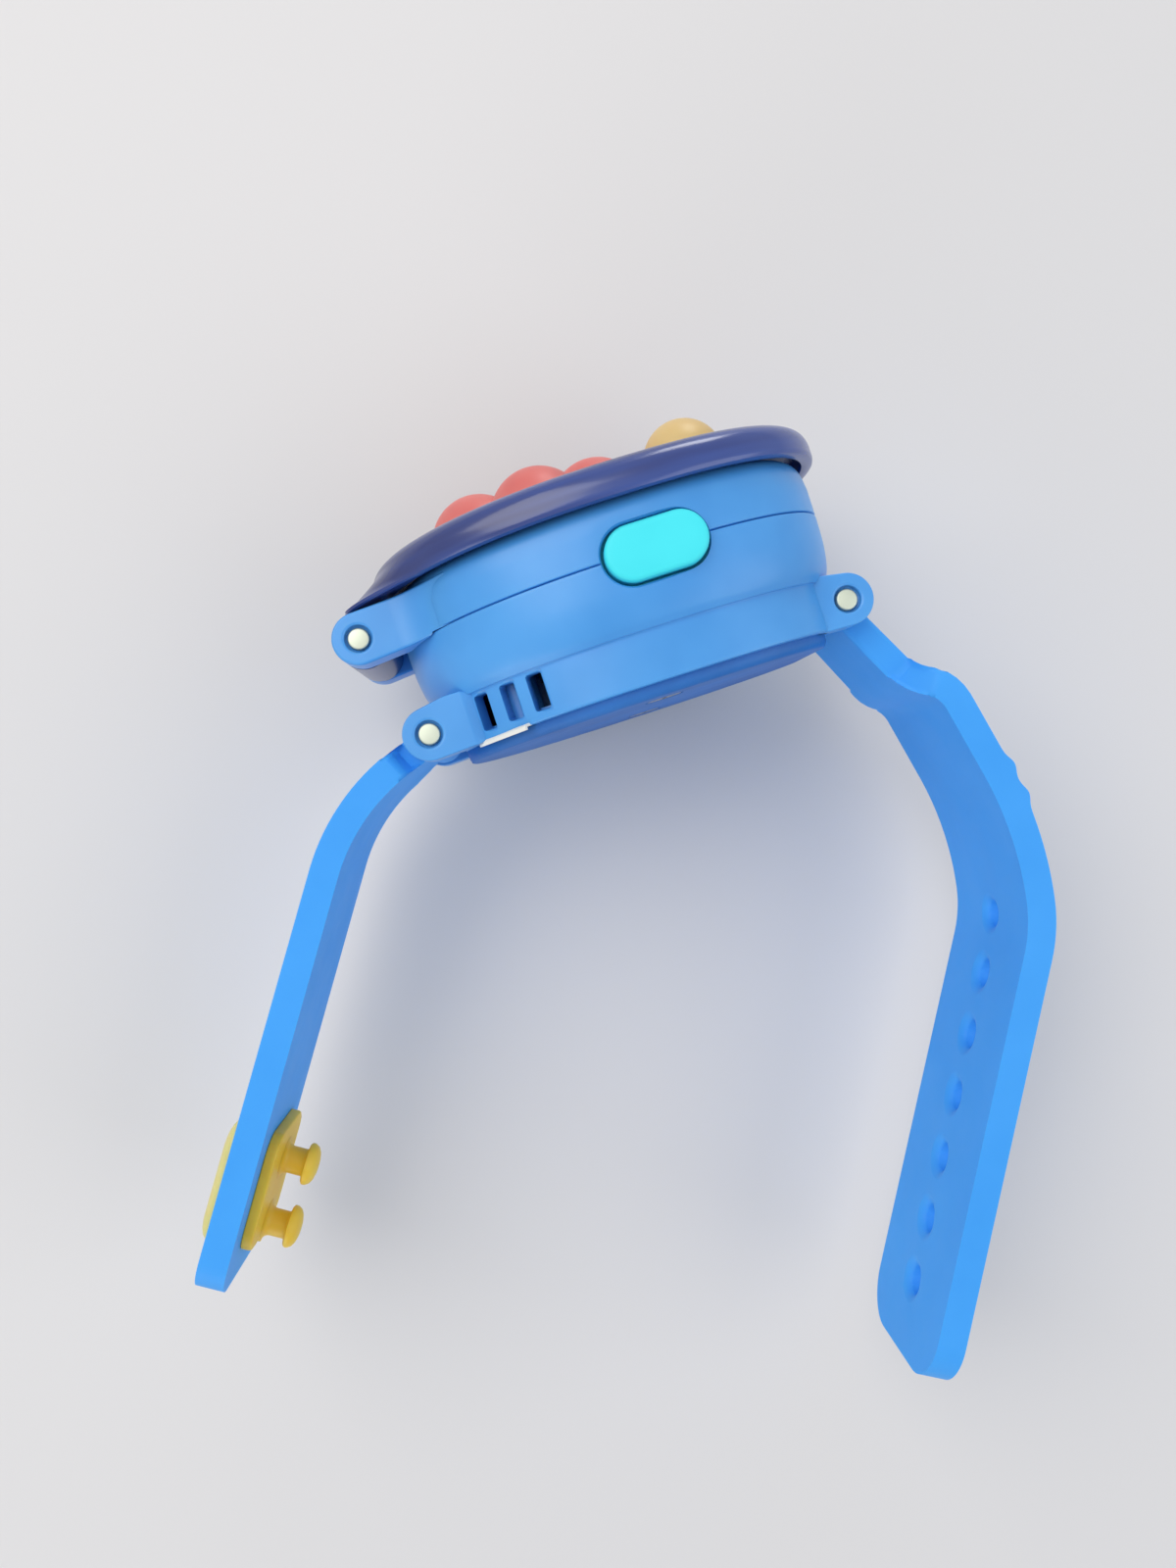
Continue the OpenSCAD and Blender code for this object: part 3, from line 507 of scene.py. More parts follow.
class Form:
    """A closed mesh in millimetres that grows from simple sections."""

    def __init__(self) -> None:
        """Starts an empty form."""
        self.bm = bmesh.new()

    @staticmethod
    def spot(point: Point, level: float, axis: Axis) -> Vector:
        """A section's point in space.

        Args:
            point: (x, z) where levels run along Y, or (x, y) where they run along Z.
            level: its level.
            axis: the axis that levels run along.

        Returns:
            The place.
        """
        if axis is Axis.Y:
            return Vector((point[0], level, point[1]))
        return Vector((point[0], point[1], level))

    def stack(self, sections: Sequence[tuple[Sequence[Point], float]], axis: Axis,
              loop: bool = False) -> "Form":
        """Skins sections of equal point counts.

        Args:
            sections: (outline, level) pairs in order.
            axis: the axis that levels run along.
            loop: joins the last section to the first, with no caps.

        Returns:
            The form itself.
        """
        return self.skin([[self.spot(p, level, axis) for p in outline]
                          for outline, level in sections], loop)

    def skin(self, places: Sequence[Sequence[Vector]], loop: bool = False) -> "Form":
        """Skins rings of points in space.

        Args:
            places: the rings, of equal point counts.
            loop: joins the last ring to the first, with no caps.

        Returns:
            The form itself.
        """
        rings = [[self.bm.verts.new(p) for p in ring] for ring in places]
        pairs = list(zip(rings, rings[1:])) + ([(rings[-1], rings[0])] if loop else [])
        for low, high in pairs:
            count = len(low)
            for k in range(count):
                n = (k + 1) % count
                self.bm.faces.new((low[k], low[n], high[n], high[k]))
        if not loop:
            self.bm.faces.new(rings[0])
            self.bm.faces.new(rings[-1])
        return self

    def prism(self, outline: Sequence[Point], low: float, high: float, axis: Axis,
              edge: float = 0.0, segments: int = 3) -> "Form":
        """Extrudes an outline with rounded rims.

        Args:
            outline: its section.
            low: lower level.
            high: higher level.
            axis: the axis that it runs along.
            edge: radius of the rims.
            segments: facets in a rim.

        Returns:
            The form itself.
        """
        part = Form()
        part.stack([(outline, low), (outline, high)], axis)
        if edge:
            level = 1 if axis is Axis.Y else 2
            part.rounded([e for e in part.bm.edges
                          if abs(e.verts[0].co[level] - e.verts[1].co[level]) < TINY],
                         edge, segments)
        return self.add(part)

    def lathe(self, profile: Sequence[Point], place: Matrix, steps: int = 48) -> "Form":
        """Turns a profile about Z and puts it in place.

        Args:
            profile: (radius, height) pairs in order.
            place: where the turned solid goes.
            steps: facets round it.

        Returns:
            The form itself.
        """
        part = Form()
        sections = []
        for radius, height in profile:
            radius = max(radius, AXIS_RADIUS)
            ring = [(radius * math.cos(math.tau * k / steps),
                     radius * math.sin(math.tau * k / steps)) for k in range(steps)]
            sections.append((ring, height))
        part.stack(sections, Axis.Z)
        bmesh.ops.remove_doubles(part.bm, verts=part.bm.verts, dist=WELD)
        part.bm.transform(place)
        return self.add(part)

    def hull(self, points: Iterable[Sequence[float]], edge: float = 0.0) -> "Form":
        """Adds the convex solid round some points.

        Args:
            points: the points, in any order.
            edge: radius of its edges.

        Returns:
            The form itself.
        """
        part = Form()
        for p in points:
            part.bm.verts.new(p)
        made = bmesh.ops.convex_hull(part.bm, input=part.bm.verts)
        inner = [g for g in made["geom_interior"] if isinstance(g, bmesh.types.BMVert)]
        bmesh.ops.delete(part.bm, geom=inner, context="VERTS")
        bmesh.ops.dissolve_limit(part.bm, angle_limit=ONE_FACE, verts=part.bm.verts,
                                 edges=part.bm.edges)
        if edge:
            part.rounded(part.bm.edges[:], edge)
        return self.add(part)

    def add(self, other: "Form") -> "Form":
        """Takes in another form's faces as they are.

        Args:
            other: the form, which is used up.

        Returns:
            The form itself.
        """
        bmesh.ops.recalc_face_normals(other.bm, faces=other.bm.faces)
        mesh = bpy.data.meshes.new("part")
        other.bm.to_mesh(mesh)
        other.bm.free()
        self.bm.from_mesh(mesh)
        bpy.data.meshes.remove(mesh)
        return self

    def moved(self, place: Matrix) -> "Form":
        """Moves the whole form."""
        self.bm.transform(place)
        return self

    def scratch(self) -> bpy.types.Object:
        """The form as an object for cutting, in millimetres.

        Returns:
            The object, which takes over the form's mesh.
        """
        bmesh.ops.recalc_face_normals(self.bm, faces=self.bm.faces)
        mesh = bpy.data.meshes.new("scratch")
        self.bm.to_mesh(mesh)
        self.bm.free()
        obj = bpy.data.objects.new("scratch", mesh)
        bpy.context.scene.collection.objects.link(obj)
        return obj

    def cut(self, how: Cut, *tools: "Form") -> "Form":
        """Changes the form by other forms, with exact booleans.

        Args:
            how: whether the tools are taken away, joined on, or all that stays.
            tools: the forms, which are used up.

        Returns:
            The form itself.
        """
        base = self.scratch()
        cutters = [tool.scratch() for tool in tools]
        for cutter in cutters:
            step = base.modifiers.new("step", "BOOLEAN")
            step.operation = how.value
            step.solver = "EXACT"
            step.object = cutter
        graph = bpy.context.evaluated_depsgraph_get()
        result = base.evaluated_get(graph).to_mesh()
        self.bm = bmesh.new()
        self.bm.from_mesh(result)
        for obj in (base, *cutters):
            mesh = obj.data
            bpy.data.objects.remove(obj)
            bpy.data.meshes.remove(mesh)
        return self

    def softened(self, edge: float, over: float) -> "Form":
        """Rounds the edges whose faces turn by more than an angle.

        Args:
            edge: radius of the edges.
            over: the angle between faces that counts, in degrees.

        Returns:
            The form itself.
        """
        return self.rounded([e for e in self.bm.edges if len(e.link_faces) == 2
                             and e.calc_face_angle(0.0) > math.radians(over)], edge)

    def rounded(self, edges: Sequence[bmesh.types.BMEdge], edge: float, segments: int = 3
                ) -> "Form":
        """Rounds some edges.

        Args:
            edges: the edges.
            edge: their radius.
            segments: facets in each.

        Returns:
            The form itself.
        """
        bmesh.ops.bevel(self.bm, geom=edges, offset=edge, segments=segments, profile=0.5,
                        affect="EDGES", clamp_overlap=True)
        return self

    def sliced(self, places: Iterable[float]) -> "Form":
        """Adds an edge loop across X at each place.

        Args:
            places: places along X.

        Returns:
            The form itself.
        """
        for x in places:
            bmesh.ops.bisect_plane(self.bm, geom=self.bm.verts[:] + self.bm.edges[:]
                                   + self.bm.faces[:], plane_co=(x, 0, 0), plane_no=(1, 0, 0))
        return self

    def bent(self, rule: Callable[[Vector], Vector]) -> "Form":
        """Moves every point by a rule.

        Args:
            rule: gives a point's new place.

        Returns:
            The form itself.
        """
        for vert in self.bm.verts:
            vert.co = rule(vert.co)
        return self

    def piece(self, name: str, body: str, finish: Finish, slot: str, nodes: Sequence[str],
              sharp: float = 32.0) -> bpy.types.Object:
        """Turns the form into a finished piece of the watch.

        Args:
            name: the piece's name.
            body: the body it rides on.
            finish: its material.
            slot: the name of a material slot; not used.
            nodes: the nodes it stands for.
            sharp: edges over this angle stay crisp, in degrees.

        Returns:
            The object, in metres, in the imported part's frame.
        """
        self.bm.transform(Matrix.Scale(MM, 4) @ Matrix.Translation(S.offset))
        bmesh.ops.recalc_face_normals(self.bm, faces=self.bm.faces)
        mesh = bpy.data.meshes.new(name)
        self.bm.to_mesh(mesh)
        self.bm.free()
        mesh.shade_smooth()
        mesh.set_sharp_from_angle(angle=math.radians(sharp))
        mesh.materials.append(finish.build())
        obj = bpy.data.objects.new(name, mesh)
        bpy.context.scene.collection.objects.link(obj)
        even = obj.modifiers.new("even_shading", "WEIGHTED_NORMAL")
        even.keep_sharp = True
        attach(obj, body)
        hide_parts(*nodes)
        LOG.info("%s rides on %s, %d faces", name, body, len(mesh.polygons))
        return obj


# turns what is drawn up Z to run up Y, and what is drawn along X to run up Z
Z_TO_Y = Matrix.Rotation(math.radians(-90), 4, "X")
UPRIGHT = Matrix.Rotation(math.radians(-90), 4, "Y")


def rod(place: Point, radius: float, low: float, high: float, edge: float = 0.0) -> Form:
    """A round bar along Z with rounded rims.

    Args:
        place: its axis, as (x, y).
        radius: its radius.
        low: its lower end.
        high: its upper end.
        edge: radius of its rims.

    Returns:
        The bar.
    """
    # the rim's facets, in radians from its flat end
    turns = (0.5, 1.0) if edge else ()
    profile = [(0, low), (radius - edge, low)]
    profile += [(radius - edge + edge * math.sin(a), low + edge - edge * math.cos(a))
                for a in turns]
    profile += [(radius, low + edge), (radius, high - edge)]
    profile += [(radius - edge + edge * math.sin(a), high - edge + edge * math.cos(a))
                for a in reversed(turns)]
    profile += [(radius - edge, high), (0, high)]
    return Form().lathe(profile, Matrix.Translation((place[0], place[1], 0)))


def rod_y(x: float, z: float, radius: float, low: float, high: float, steps: int = 48) -> Form:
    """A round bar along Y."""
    place = Matrix.Translation((x, 0, z)) @ Z_TO_Y
    return Form().lathe([(0, low), (radius, low), (radius, high), (0, high)], place, steps)


def block(low: Sequence[float], high: Sequence[float]) -> Form:
    """A block between two corners."""
    outline = [(low[0], low[1]), (high[0], low[1]), (high[0], high[1]), (low[0], high[1])]
    return Form().stack([(outline, low[2]), (outline, high[2])], Axis.Z)


def ear(outline: Sequence[Point], pin: Point, inner: float, outer: float, side: int,
        ramp: Sequence[Point] = (), tall: Point = (0.0, 0.0)) -> Form:
    """One ear with a dished hole for its pin.

    Args:
        outline: its side view.
        pin: the middle of its pin.
        inner: distance of its inner face from the middle plane.
        outer: distance of its outer face.
        side: which side of the watch it is on, 1 or -1.
        ramp: (x, z) places where its outer face runs into the case's side.
        tall: lowest and highest Y of those places.

    Returns:
        The ear.
    """
    points = [(x, y, side * z) for x, y in outline for z in (inner, outer)]
    points += [(x, y, side * z) for x, reach in ramp for y in tall for z in (inner, reach)]
    return dished(Form().hull(points, S.ear_edge), pin, outer, side)


# a pin hole's side, from the dish in: (beyond the pin's hole, height from the ear's face)
DISH = ((0.28, -0.85), (0.28, -0.26), (0.33, -0.12), (0.46, -0.03), (0.7, 0.02), (0.7, 2.0))
DISH_FLOOR = -0.95
BORE_END = -6.0


def dished(form: Form, pin: Point, outer: float, side: int) -> Form:
    """Bores an ear for its pin, with a dish at its outer face.

    Args:
        form: the ear.
        pin: the middle of its pin.
        outer: distance of its outer face from the middle plane.
        side: which side of the watch it is on, 1 or -1.

    Returns:
        The ear.
    """
    bore = S.pin_radius + S.snug
    dish = [(0, BORE_END), (bore, BORE_END), (bore, DISH_FLOOR),
            *((bore + out, level) for out, level in DISH), (0, DISH[-1][1])]
    place = Matrix.Translation((pin[0], pin[1], side * outer))
    if side < 0:
        place = place @ Matrix.Rotation(math.pi, 4, "X")
    return form.cut(Cut.AWAY, Form().lathe(dish, place))


# --------------------------------------------------------------- sub-assemblies


@dataclass
class CaseShells:
    """The two case halves, the back plate and what is set into them."""

    # the parting line's soft lips: (inset, share of the groove)
    seam_groove: float = 0.16
    seam_lips: tuple[Point, ...] = ((0.3, 0.0), (0.04, 0.8), (0.0, 1.5))
    straight: float = 1.5
    # (share of the height, share of the wall) over the shoulder, (share, inset) down to the band
    shoulder: tuple[Point, ...] = ((0.45, 0), (0.72, 0.12), (0.86, 0.34), (0.95, 0.66), (1, 1))
    roll: tuple[Point, ...] = ((0, 0.78), (0.1, 0.5), (0.26, 0.27), (0.5, 0.09), (0.75, 0.02),
                               (1, 0))
    window_edge: float = 0.2
    # the band's rounded rims: (further inset, height from the rim)
    band_foot: tuple[Point, ...] = ((0.35, 0.0), (0.12, 0.08), (0.0, 0.3))
    band_lip: tuple[Point, ...] = ((0.0, -0.25), (-0.04, -0.08), (-0.12, 0.0))
    # the button's hole: its gap, its mouth as (grown, height from the side's face), its reach
    button_gap: float = 0.35
    button_mouth: tuple[Point, ...] = ((0.0, -0.22), (0.25, 0.06))
    button_hole: Point = (15.0, 24.0)
    # the sound slots, their mouths as (grown, height from the band's side)
    slot_xs: tuple[float, ...] = (-17.6, -14.6, -11.6)
    slot_width: float = 1.7
    slot_height: float = 3.9
    slot_corner: float = 0.3
    slot_foot: float = 1.6
    slot_depth: float = 3.0
    slot_spread: float = 1.5
    slot_mouth: tuple[Point, ...] = ((0, -0.36), (0.03, -0.2), (0.12, -0.06), (0.3, 0.06))
    # the lid's ears, which sweep out into the case's side
    flare_start: float = -24.0
    flare_end: float = -17.0
    flare_top: float = 15.75
    flare_root: float = 1.0
    flare_under: float = 0.4
    flare_spread: float = 0.5
    flare_steps: int = 14
    flare_levels: Point = (5.0, 20.0)
    # how far the sweep's tool runs on past the pin, and the arm past the case's side
    flare_past: Point = (-40.0, 17.0)
    flare_edge: float = 0.6
    flare_keen: float = 40.0
    # the strap ears: length of root, and how the twelve o'clock pair runs into the band
    ear_root: float = 4.6
    ear_ramp: tuple[Point, ...] = ((-20.7, 12.3), (-18.2, 11.9))
    ear_ramp_foot: float = 0.1
    boss_foot: float = 0.4
    pocket_length: float = 12.0
    # the back plate's rounded rim: (further inset, height), and its two screws' holes
    cover_rim: tuple[Point, ...] = ((0.75, 0.0), (0.5, 0.12), (0.22, 0.36), (0.06, 0.7),
                                    (0.0, 1.1))
    cover_head: Point = (2.2, 0.82)
    cover_hole: float = 1.1
    cover_cut: float = -6.0
    tab_thick: float = 0.3
    tab_width: float = 7.4
    tab_length: float = 2.6
    tab_drop: float = 0.35
    tab_curl: float = 0.5
    tab_steps: int = 6
    tab_from_pin: float = 7.4
    tab_turn: float = -45.0
    pin_edge: float = 0.22
    over: float = 1.0

    def flare(self) -> list[Point]:
        """A lid ear from above, as its face sweeps out into the case's side.

        Returns:
            Points as (x, z), for the side of the watch that the button is on.
        """
        start, end = self.flare_start, self.flare_end
        run, low, high = end - start, S.lid_ear_face, half_at(end, 0.0) - self.flare_under
        slope = slope_at(end, 0.0, self.flare_spread) * run
        past = self.flare_past[0]
        sweep = []
        for k in range(self.flare_steps + 1):
            t = k / self.flare_steps
            sweep.append((start + run * t, low + (high - low) * (3 - 2 * t) * t * t
                          + slope * (t - 1) * t * t))
        return [(end, S.lid_ear_inner), (past, S.lid_ear_inner), (past, low), *sweep]

    def button_tool(self) -> Form:
        """What the button's hole takes away.

        Returns:
            The tool.
        """
        rings = []
        for grow, level in self.button_mouth:
            grow += self.button_gap
            rings.append(([(S.button_x + x, S.seam + y) for x, y in
                           stadium(S.button_length + 2 * grow, S.button_width + 2 * grow)],
                          S.side_face + level))
        low, high = self.button_hole
        return Form().stack([(rings[0][0], low), *rings, (rings[-1][0], high)], Axis.Z)

    def bosses(self, form: Form, low: float, high: float) -> None:
        """Adds the four screw bosses.

        Args:
            form: the shell that they join.
            low: their lower end along Y.
            high: their upper end.
        """
        for x in (-1, 1):
            for z in (-1, 1):
                form.add(rod_y(S.middle + x * S.boss_x, z * S.boss_z, S.boss_radius, low, high))

    def upper(self) -> None:
        """Builds the upper half with the lid's ears."""
        height = S.top - S.seam
        outer = curve_through([(inset * S.wall, S.seam + share * height)
                               for share, inset in self.shoulder], 4)
        ledge, chamfer = S.window_inset + S.ledge, self.window_edge
        profile = [(S.wall, S.seam)]
        profile += [(inset, S.seam + self.seam_groove * share) for inset, share in self.seam_lips]
        profile += [(0, S.seam + self.straight), *outer,
                    (S.window_inset - chamfer, S.top), (S.window_inset, S.top - chamfer),
                    (S.window_inset, S.top - S.window_thick), (ledge, S.top - S.window_thick),
                    (ledge, S.roof), (S.wall, S.roof)]
        form = Form().stack([(case_ring(inset), level) for inset, level in profile], Axis.Y,
                            loop=True)
        form.cut(Cut.AWAY, self.button_tool())
        outline = hull_outline(eye(S.hinge) + [(self.flare_end + self.flare_root, y)
                                               for y in (S.seam, self.flare_top)])
        around = case_ring(-S.gap)
        for side in (1, -1):
            arm = Form().stack([(outline, side * z) for z in
                                (S.lid_ear_inner, self.flare_past[1])], Axis.Z)
            arm.cut(Cut.COMMON, Form().stack(
                [([(x, side * z) for x, z in self.flare()], level)
                 for level in self.flare_levels], Axis.Y))
            arm.softened(self.flare_edge, self.flare_keen)
            lower_half = Form().stack([(around, S.seam - S.ear_radius - self.over),
                                       (around, S.seam)], Axis.Y)
            form.add(dished(arm, S.hinge, S.lid_ear_face, side).cut(Cut.AWAY, lower_half))
        self.bosses(form, S.seam, S.roof)
        form.piece("case_upper", "case", Finishes.CASE, "case_shells", ["upper_case"])

    def slot_tool(self, x: float) -> Form:
        """What a sound slot takes away, square to the band's side.

        Args:
            x: the slot's middle.

        Returns:
            The tool.
        """
        slope = slope_at(x, S.band_inset, self.slot_spread)
        turn = (Matrix.Translation((x, self.slot_height / 2 - self.slot_foot,
                                    half_at(x, S.band_inset)))
                @ Matrix.Rotation(-math.atan(slope) / 2, 4, "Y"))
        widest = self.slot_mouth[-1][0]
        levels = [(0, -self.slot_depth), *self.slot_mouth, (widest, self.slot_depth)]
        return Form().stack([
            (soft_rectangle(self.slot_width + 2 * grow, self.slot_height + 2 * grow,
                            self.slot_corner), level) for grow, level in levels],
            Axis.Z).moved(turn)

    def lower(self) -> None:
        """Builds the lower half with its band, pockets, slots and strap ears."""
        over = self.over
        height = S.seam - S.band_top
        roll = curve_through([(inset * S.band_inset, S.band_top + share * height)
                              for share, inset in self.roll], 5)
        inner = S.band_inset + S.wall
        foot = -S.band_drop + self.band_foot[-1][1]
        shelf = S.pocket_top + S.wall
        profile = [(S.band_inset + inset, -S.band_drop + up) for inset, up in self.band_foot]
        profile += [(S.band_inset + inset, S.band_top + up) for inset, up in self.band_lip]
        profile += [p for p in roll if p[1] < S.seam - self.seam_groove * 2]
        profile += [(inset, S.seam - self.seam_groove * share)
                    for inset, share in reversed(self.seam_lips)]
        profile += [(S.wall, S.seam), (S.wall, shelf), (inner, shelf), (inner, S.floor_level)]
        form = Form().stack([(case_ring(inset), level) for inset, level in profile], Axis.Y)
        tools = [self.button_tool()]
        for end in (-1, 1):
            near, far = sorted((end * S.pocket_edge,
                                end * (S.pocket_edge + self.pocket_length)))
            tools.append(block((near, S.cover_level - over, -S.ear_inner),
                               (far, S.pocket_top, S.ear_inner)))
        tools += [self.slot_tool(x) for x in self.slot_xs]
        well_low = (S.middle - S.well_half_x, -S.band_drop - over, -S.well_half_z)
        well_high = (S.middle + S.well_half_x, S.well_roof, S.well_half_z)
        tools.append(block(well_low, well_high))
        form.cut(Cut.AWAY, *tools)
        around = case_ring(S.band_inset + S.cover_inset - S.gap)
        for end, pin in ((-1, S.pin_12), (1, S.pin_6)):
            near, far = sorted((end * (S.pocket_edge - S.wall), end * S.pocket_edge))
            half = half_at(end * S.pocket_edge, inner)
            form.add(block((near, foot, -half), (far, shelf, half)))
            root = pin[0] - end * self.ear_root
            outline = hull_outline(eye(pin) + [
                (x, y) for x in (root, root + end * S.wall)
                for y in (-S.band_drop, S.band_top + 2 * S.gap)])
            for side in (1, -1):
                cover = Form().stack([(around, self.cover_cut), (around, -S.band_drop)], Axis.Y)
                form.add(ear(outline, pin, S.ear_inner, S.ear_face, side,
                             self.ear_ramp if end < 0 else (),
                             (-S.band_drop + self.ear_ramp_foot, S.band_top)
                             ).cut(Cut.AWAY, cover))
        well_x, well_z = S.well_half_x + S.well_wall, S.well_half_z + S.well_wall
        walls = block((S.middle - well_x, foot, -well_z),
                      (S.middle + well_x, S.well_roof + S.well_wall, well_z))
        form.add(walls.cut(Cut.AWAY, block(well_low, well_high)))
        self.bosses(form, -S.band_drop + self.boss_foot, S.seam)
        form.piece("case_lower", "case", Finishes.CASE, "case_shells", ["lower_case"])

    def back(self) -> None:
        """Builds the grained back plate."""
        inset = S.band_inset + S.cover_inset
        profile = [(inset + further, S.cover_level + up) for further, up in self.cover_rim]
        profile.append((inset, -S.band_drop))
        form = Form().stack([(case_ring(i, end=S.pocket_edge), level) for i, level in profile],
                            Axis.Y)
        head, depth = self.cover_head
        bores = ((head, S.cover_level - self.over, S.cover_level + depth),
                 (self.cover_hole, S.cover_level, 0.0))
        form.cut(Cut.AWAY, *(rod_y(S.middle, z, *bore) for bore in bores
                             for z in (-S.cover_boss_z, S.cover_boss_z)))
        form.piece("back_plate", "case", Finishes.BACK, "back_cover", ["back_cover"])

    def tab(self) -> None:
        """Builds the film tab, its free end curled down over the band's edge."""
        thick, x = self.tab_thick, S.pin_12[0] + self.tab_from_pin
        curl = self.tab_curl
        outer = arc((-curl, -curl + thick), curl, 90, 0, self.tab_steps)
        inner = arc((-curl, -curl + thick), curl - thick, 0, 90, self.tab_steps)
        outline = [(-self.tab_length, 0.0), (-self.tab_length, thick), *outer,
                   (0.0, -self.tab_drop), (-thick, -self.tab_drop), *inner]
        turn = (Matrix.Translation((x, -S.band_drop, half_at(x, S.band_inset) + S.gap))
                @ Matrix.Rotation(math.radians(self.tab_turn), 4, "Y") @ UPRIGHT)
        form = Form().stack([(outline, -self.tab_width / 2), (outline, self.tab_width / 2)],
                            Axis.Z)
        form.moved(turn).piece("film_tab", "case", Finishes.FILM, "tab", ["pull_tab"])

    def pins(self) -> None:
        """Builds the three steel pins."""
        for name, place, reach, node in (
                ("pin_lid", S.hinge, S.lid_ear_face, "lid_hinge_pin"),
                ("pin_12", S.pin_12, S.ear_face, "strap_pin_12"),
                ("pin_6", S.pin_6, S.ear_face, "strap_pin_6")):
            half = reach - S.pin_recess
            rod(place, S.pin_radius, -half, half, self.pin_edge).piece(
                name, "case", Finishes.PIN, "pins", [node])

    def build(self) -> None:
        """Builds every piece of the case."""
        self.upper()
        self.lower()
        self.back()
        self.tab()
        self.pins()


@dataclass
class SideButton:
    """The turquoise button that straddles the parting line."""

    proud: float = 0.9
    sunk: float = 0.4
    edge: float = 0.5
    # the crown's steps round its rim, in radians, and the insets of its flat top
    steps: tuple[float, ...] = (0.3, 0.6, 0.9, 1.2, 1.5)
    tall_share: float = 0.9
    flats: Point = (1.3, 2.2)
    flange_face: float = 19.45
    flange_thick: float = 1.0
    flange_rim: float = 1.1
    stem_radius: float = 1.5
    stem_tip: float = 16.25
    stem_edge: float = 0.2

    def outline(self, grow: float) -> list[Point]:
        """The button's outline, grown on every side."""
        return [(S.button_x + x, S.seam + y) for x, y in
                stadium(S.button_length + 2 * grow, S.button_width + 2 * grow)]

    def build(self) -> None:
        """Builds the cap, its flange and its stem as one piece."""
        top, edge = S.half_width + self.proud, self.edge
        face, rise = self.flange_face, edge * self.tall_share
        levels = [(0.0, face - self.sunk), (0.0, top - 2 * edge)]
        levels += [(edge * (1 - math.cos(a)), top - rise + rise * math.sin(a))
                   for a in self.steps]
        levels += [(inset, top) for inset in self.flats]
        form = Form().stack([(self.outline(-inset), level) for inset, level in levels], Axis.Z)
        form.prism(self.outline(self.flange_rim), face - self.flange_thick, face, Axis.Z)
        form.add(rod((S.button_x, S.seam), self.stem_radius, self.stem_tip,
                     face - self.flange_thick / 2, self.stem_edge))
        form.piece("button", "button", Finishes.BUTTON, "button", ["side_button"])


